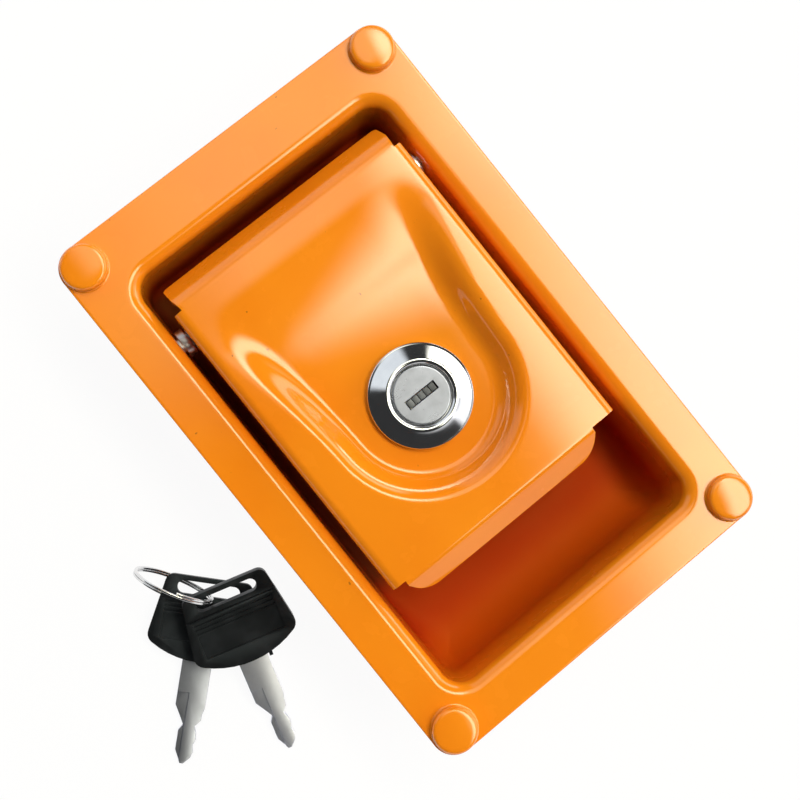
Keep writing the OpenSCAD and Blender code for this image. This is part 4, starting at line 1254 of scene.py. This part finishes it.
@dataclass(frozen=True)
class MadePiece:
    """A piece whose form is the CAD node's, with its edges rounded as tools leave them."""

    node: str
    body: Body
    slot: str
    finish: Finish
    edge: float
    angle: float = 28.0
    weld_gap: ClassVar[float] = 1e-6
    level: ClassVar[float] = 0.5

    def build(self) -> Thing:
        """Builds the rounded copy of the node."""
        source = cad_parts[self.node]
        copy = link(bpy.data.objects.new(self.node + "_work", source.data.copy()))
        weld = copy.modifiers.new("weld", "WELD")
        weld.merge_threshold = self.weld_gap
        flat = copy.modifiers.new("flat", "DECIMATE")
        flat.decimate_type = "DISSOLVE"
        flat.angle_limit = math.radians(self.level)
        smooth(copy, self.angle)
        add_bevel(copy, self.edge, self.angle, flat=True)
        return converted(copy, self.node + "_finished")

    def dress(self, obj: Thing) -> None:
        """Finishes the piece and hands it over."""
        Piece.hand_over(obj, self.body, self.slot, self.finish, [self.node])


PLATED = ("zinc_plate", Finishes.ZINC)
GROUND = ("bolt_steel", Finishes.BOLT)
MOULDED = ("key_plastic", Finishes.PLASTIC)
MADE_PIECES: tuple[MadePiece, ...] = (
    MadePiece("rear_tray", Body.HOUSING, *PLATED, 0.2),
    MadePiece("hinge_pin", Body.HOUSING, *PLATED, 0.35),
    MadePiece("hinge_spacers", Body.HOUSING, *PLATED, 0.2),
    MadePiece("pin_clips", Body.HOUSING, "spring_steel", Finishes.SPRING, 0.12),
    MadePiece("bolt_guide_front", Body.HOUSING, *PLATED, 0.18),
    MadePiece("bolt_guide_rear", Body.HOUSING, *PLATED, 0.18),
    MadePiece("guide_rivets", Body.HOUSING, *PLATED, 0.1, 50.0),
    MadePiece("spring_rod", Body.HOUSING, *PLATED, 0.3),
    MadePiece("drive_bracket", Body.HANDLE, *PLATED, 0.2),
    MadePiece("drive_pin", Body.HANDLE, *GROUND, 0.2),
    MadePiece("lock_washer", Body.HANDLE, *PLATED, 0.15),
    MadePiece("lock_nut", Body.HANDLE, *PLATED, 0.2),
    MadePiece("lock_cam", Body.PLUG, *PLATED, 0.25),
    MadePiece("cam_washer", Body.PLUG, *PLATED, 0.12),
    MadePiece("cam_screw", Body.PLUG, *PLATED, 0.25),
    MadePiece("slam_bolt", Body.BOLT, *GROUND, 0.35),
    MadePiece("key_1_blade", Body.KEY_1, "key_nickel", Finishes.NICKEL, 0.14),
    # The second key's blade wears the brighter nickel copy, which is painted light.
    MadePiece("key_2_blade", Body.KEY_2, "key_nickel", Finishes.BRIGHTENED_NICKEL, 0.14),
    MadePiece("key_1_head", Body.KEY_1, *MOULDED, 0.4),
    MadePiece("key_2_head", Body.KEY_2, *MOULDED, 0.4),
)


@dataclass(frozen=True)
class OverheadGlow:
    """A soft patch of light overhead, bounded in the slopes x/z and y/z of a direction."""

    radiance: float
    rise: Span
    skew: float
    far: Span
    sides: tuple[float, float, float, float]
    tint: Colour = (1.0, 1.0, 1.0)

    def signal(self, x: Signal, y: Signal, z: Signal) -> Signal:
        """Returns the patch's radiance by direction."""
        up = z.most(0.02)
        across, along = x / up, y / up
        near, low, high, end = self.sides
        sides = along.between(near, low) * along.between(end, high)
        rise = (across - along * self.skew).between(*self.rise)
        return rise * across.between(*self.far) * sides * self.radiance


@dataclass(frozen=True)
class HorizonGlow:
    """A soft patch of light low round the lock, towards an azimuth in degrees from +X."""

    radiance: float
    azimuth: float
    spread: float
    low: Span
    high: Span
    tint: Colour = (1.0, 1.0, 1.0)

    def signal(self, x: Signal, y: Signal, z: Signal) -> Signal:
        """Returns the patch's radiance by direction."""
        a = math.radians(self.azimuth)
        facing = (x * math.cos(a) + y * math.sin(a)) / (x * x + y * y).root().most(0.01)
        edge = math.cos(math.radians(self.spread))
        heights = z.between(*self.low) * z.between(*self.high)
        return facing.between(edge, (1 + edge) / 2) * heights * self.radiance


@dataclass
class Studio:
    """Pale floor, dim surroundings with soft patches of light, and the photograph's camera."""

    floor_z: float = -44.0
    floor_half: float = 4.0
    wall_h: float = 0.5
    floor_white: float = 0.94
    eye: tuple[float, float, float] = (-51.6, 4.4, 366.3)
    gaze: tuple[float, float, float] = (0.1267, -0.0147, -0.9918)
    up: tuple[float, float, float] = (0.6208, 0.781, 0.0678)
    lens: float = 63.42
    base: float = 0.04
    glows: tuple[OverheadGlow | HorizonGlow, ...] = (
        OverheadGlow(10.3, (0.18, 0.34), 0.25, (0.62, 0.42), (-0.75, -0.45, 0.22, 0.5), (1.0, 0.97, 0.76)),
        OverheadGlow(2.4, (-0.10, 0.15), 0.0, (0.7, 0.35), (0.02, 0.13, 0.5, 1.0), (1.0, 0.98, 0.80)),
        HorizonGlow(1.0, 97.0, 36.0, (0.02, 0.12), (0.85, 0.60), (0.92, 0.97, 1.0)),
        HorizonGlow(1.4, -38.0, 32.0, (0.10, 0.25), (0.80, 0.55)),
        HorizonGlow(1.0, -95.0, 40.0, (-0.1, 0.0), (0.4, 0.2)),
        HorizonGlow(3.8, 0.0, 40.0, (0.02, 0.12), (0.5, 0.3), (1.0, 0.97, 0.84)),
    )

    def build_floor(self) -> Thing:
        """Builds the floor and a low wall far round it, white to the camera and in reflections."""
        h, z = self.floor_half, self.floor_z * MM
        corners = ((-h, -h), (h, -h), (h, h), (-h, h))
        points = [(x, y, level) for level in (z, z + self.wall_h) for x, y in corners]
        walls = [(i, 4 + i, 4 + (i + 1) % 4, (i + 1) % 4) for i in range(4)]
        mesh = bpy.data.meshes.new("studio_floor")
        mesh.from_pydata(points, [], [(0, 1, 2, 3), *walls])
        floor = link(bpy.data.objects.new("studio_floor", mesh))
        made = bpy.data.materials.new("pale_floor")
        made.use_nodes = True
        g = Graph(made.node_tree)
        path = g.node("ShaderNodeLightPath")
        rays = [Signal(g, path.outputs[f"Is {kind} Ray"]) for kind in ("Camera", "Glossy", "Transmission")]
        seen = rays[0].most(rays[1]).most(rays[2])
        grain = g.noise(g.coordinates(), 30, 3)
        pale = g.blend((0.80, 0.80, 0.80), (0.78, 0.78, 0.78), grain)
        faint = g.blend((0.060, 0.060, 0.060), (0.058, 0.058, 0.058), grain)
        plain = g.node("ShaderNodeBsdfDiffuse", {"Color": pale})
        keep = g.node("ShaderNodeBsdfDiffuse", {"Color": faint})
        glow = g.node("ShaderNodeEmission", {"Color": (1.0, 1.0, 1.0), "Strength": self.floor_white})
        shown = g.node("ShaderNodeAddShader", {0: keep.outputs[0], 1: glow.outputs[0]})
        mixed = g.node("ShaderNodeMixShader", {0: seen, 1: plain.outputs[0], 2: shown.outputs[0]})
        g.node("ShaderNodeOutputMaterial", {"Surface": mixed.outputs[0]})
        mesh.materials.append(made)
        return floor

    def build_world(self) -> None:
        """Builds the surroundings: dim, with soft patches of light overhead and low round the lock."""
        world = bpy.data.worlds.new("studio_surroundings")
        world.use_nodes = True
        g = Graph(world.node_tree)
        x, y, z = g.split(g.coordinates("Generated"))
        shares = [(glow.signal(x, y, z), glow.tint) for glow in self.glows]
        channels = [sum((share * tint[k] for share, tint in shares), self.base) for k in range(3)]
        sky = g.node("ShaderNodeCombineColor", dict(enumerate(channels)))
        glow = g.node("ShaderNodeBackground", {"Color": sky.outputs[0], "Strength": 1.0})
        g.node("ShaderNodeOutputWorld", {"Surface": glow.outputs[0]})
        bpy.context.scene.world = world

    def build_camera(self) -> Thing:
        """Builds the camera at the photograph's place."""
        camera = bpy.data.cameras.new("photo_camera")
        camera.lens = self.lens
        camera.sensor_width = 36.0
        camera.clip_start, camera.clip_end = 0.01, 100.0
        made = link(bpy.data.objects.new("photo_camera", camera))
        back = -Vector(self.gaze).normalized()
        right = Vector(self.up).cross(back).normalized()
        turn = Matrix((right, back.cross(right), back)).transposed()
        made.matrix_world = Matrix.Translation(Vector(self.eye) * MM) @ turn.to_4x4()
        bpy.context.scene.camera = made
        return made

    def build(self) -> None:
        """Builds everything round the lock."""
        self.build_floor()
        self.build_world()
        self.build_camera()
        bpy.context.scene.view_settings.view_transform = "Standard"


def main() -> None:
    """Builds the lock's pieces in order, then the studio."""
    logging.basicConfig(level=logging.INFO, format="%(message)s")
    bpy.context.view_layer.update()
    repeater = Repeater()
    pan = Pan()
    pan.dress(pan.build())
    studs = Studs()
    studs.dress(studs.build(repeater))
    paddle = Paddle()
    paddle.dress(paddle.build())
    lock = Lock()
    lock.dress(lock.build_body(), lock.build_plug(), lock.build_wafers(repeater), lock.build_bars())
    springs = Springs()
    springs.dress(springs.build_torsion(), springs.build_bolt())
    ring = KeyRing()
    ring.dress(ring.build())
    for piece in MADE_PIECES:
        piece.dress(piece.build())
    Studio().build()


if __name__ == "__main__":
    main()
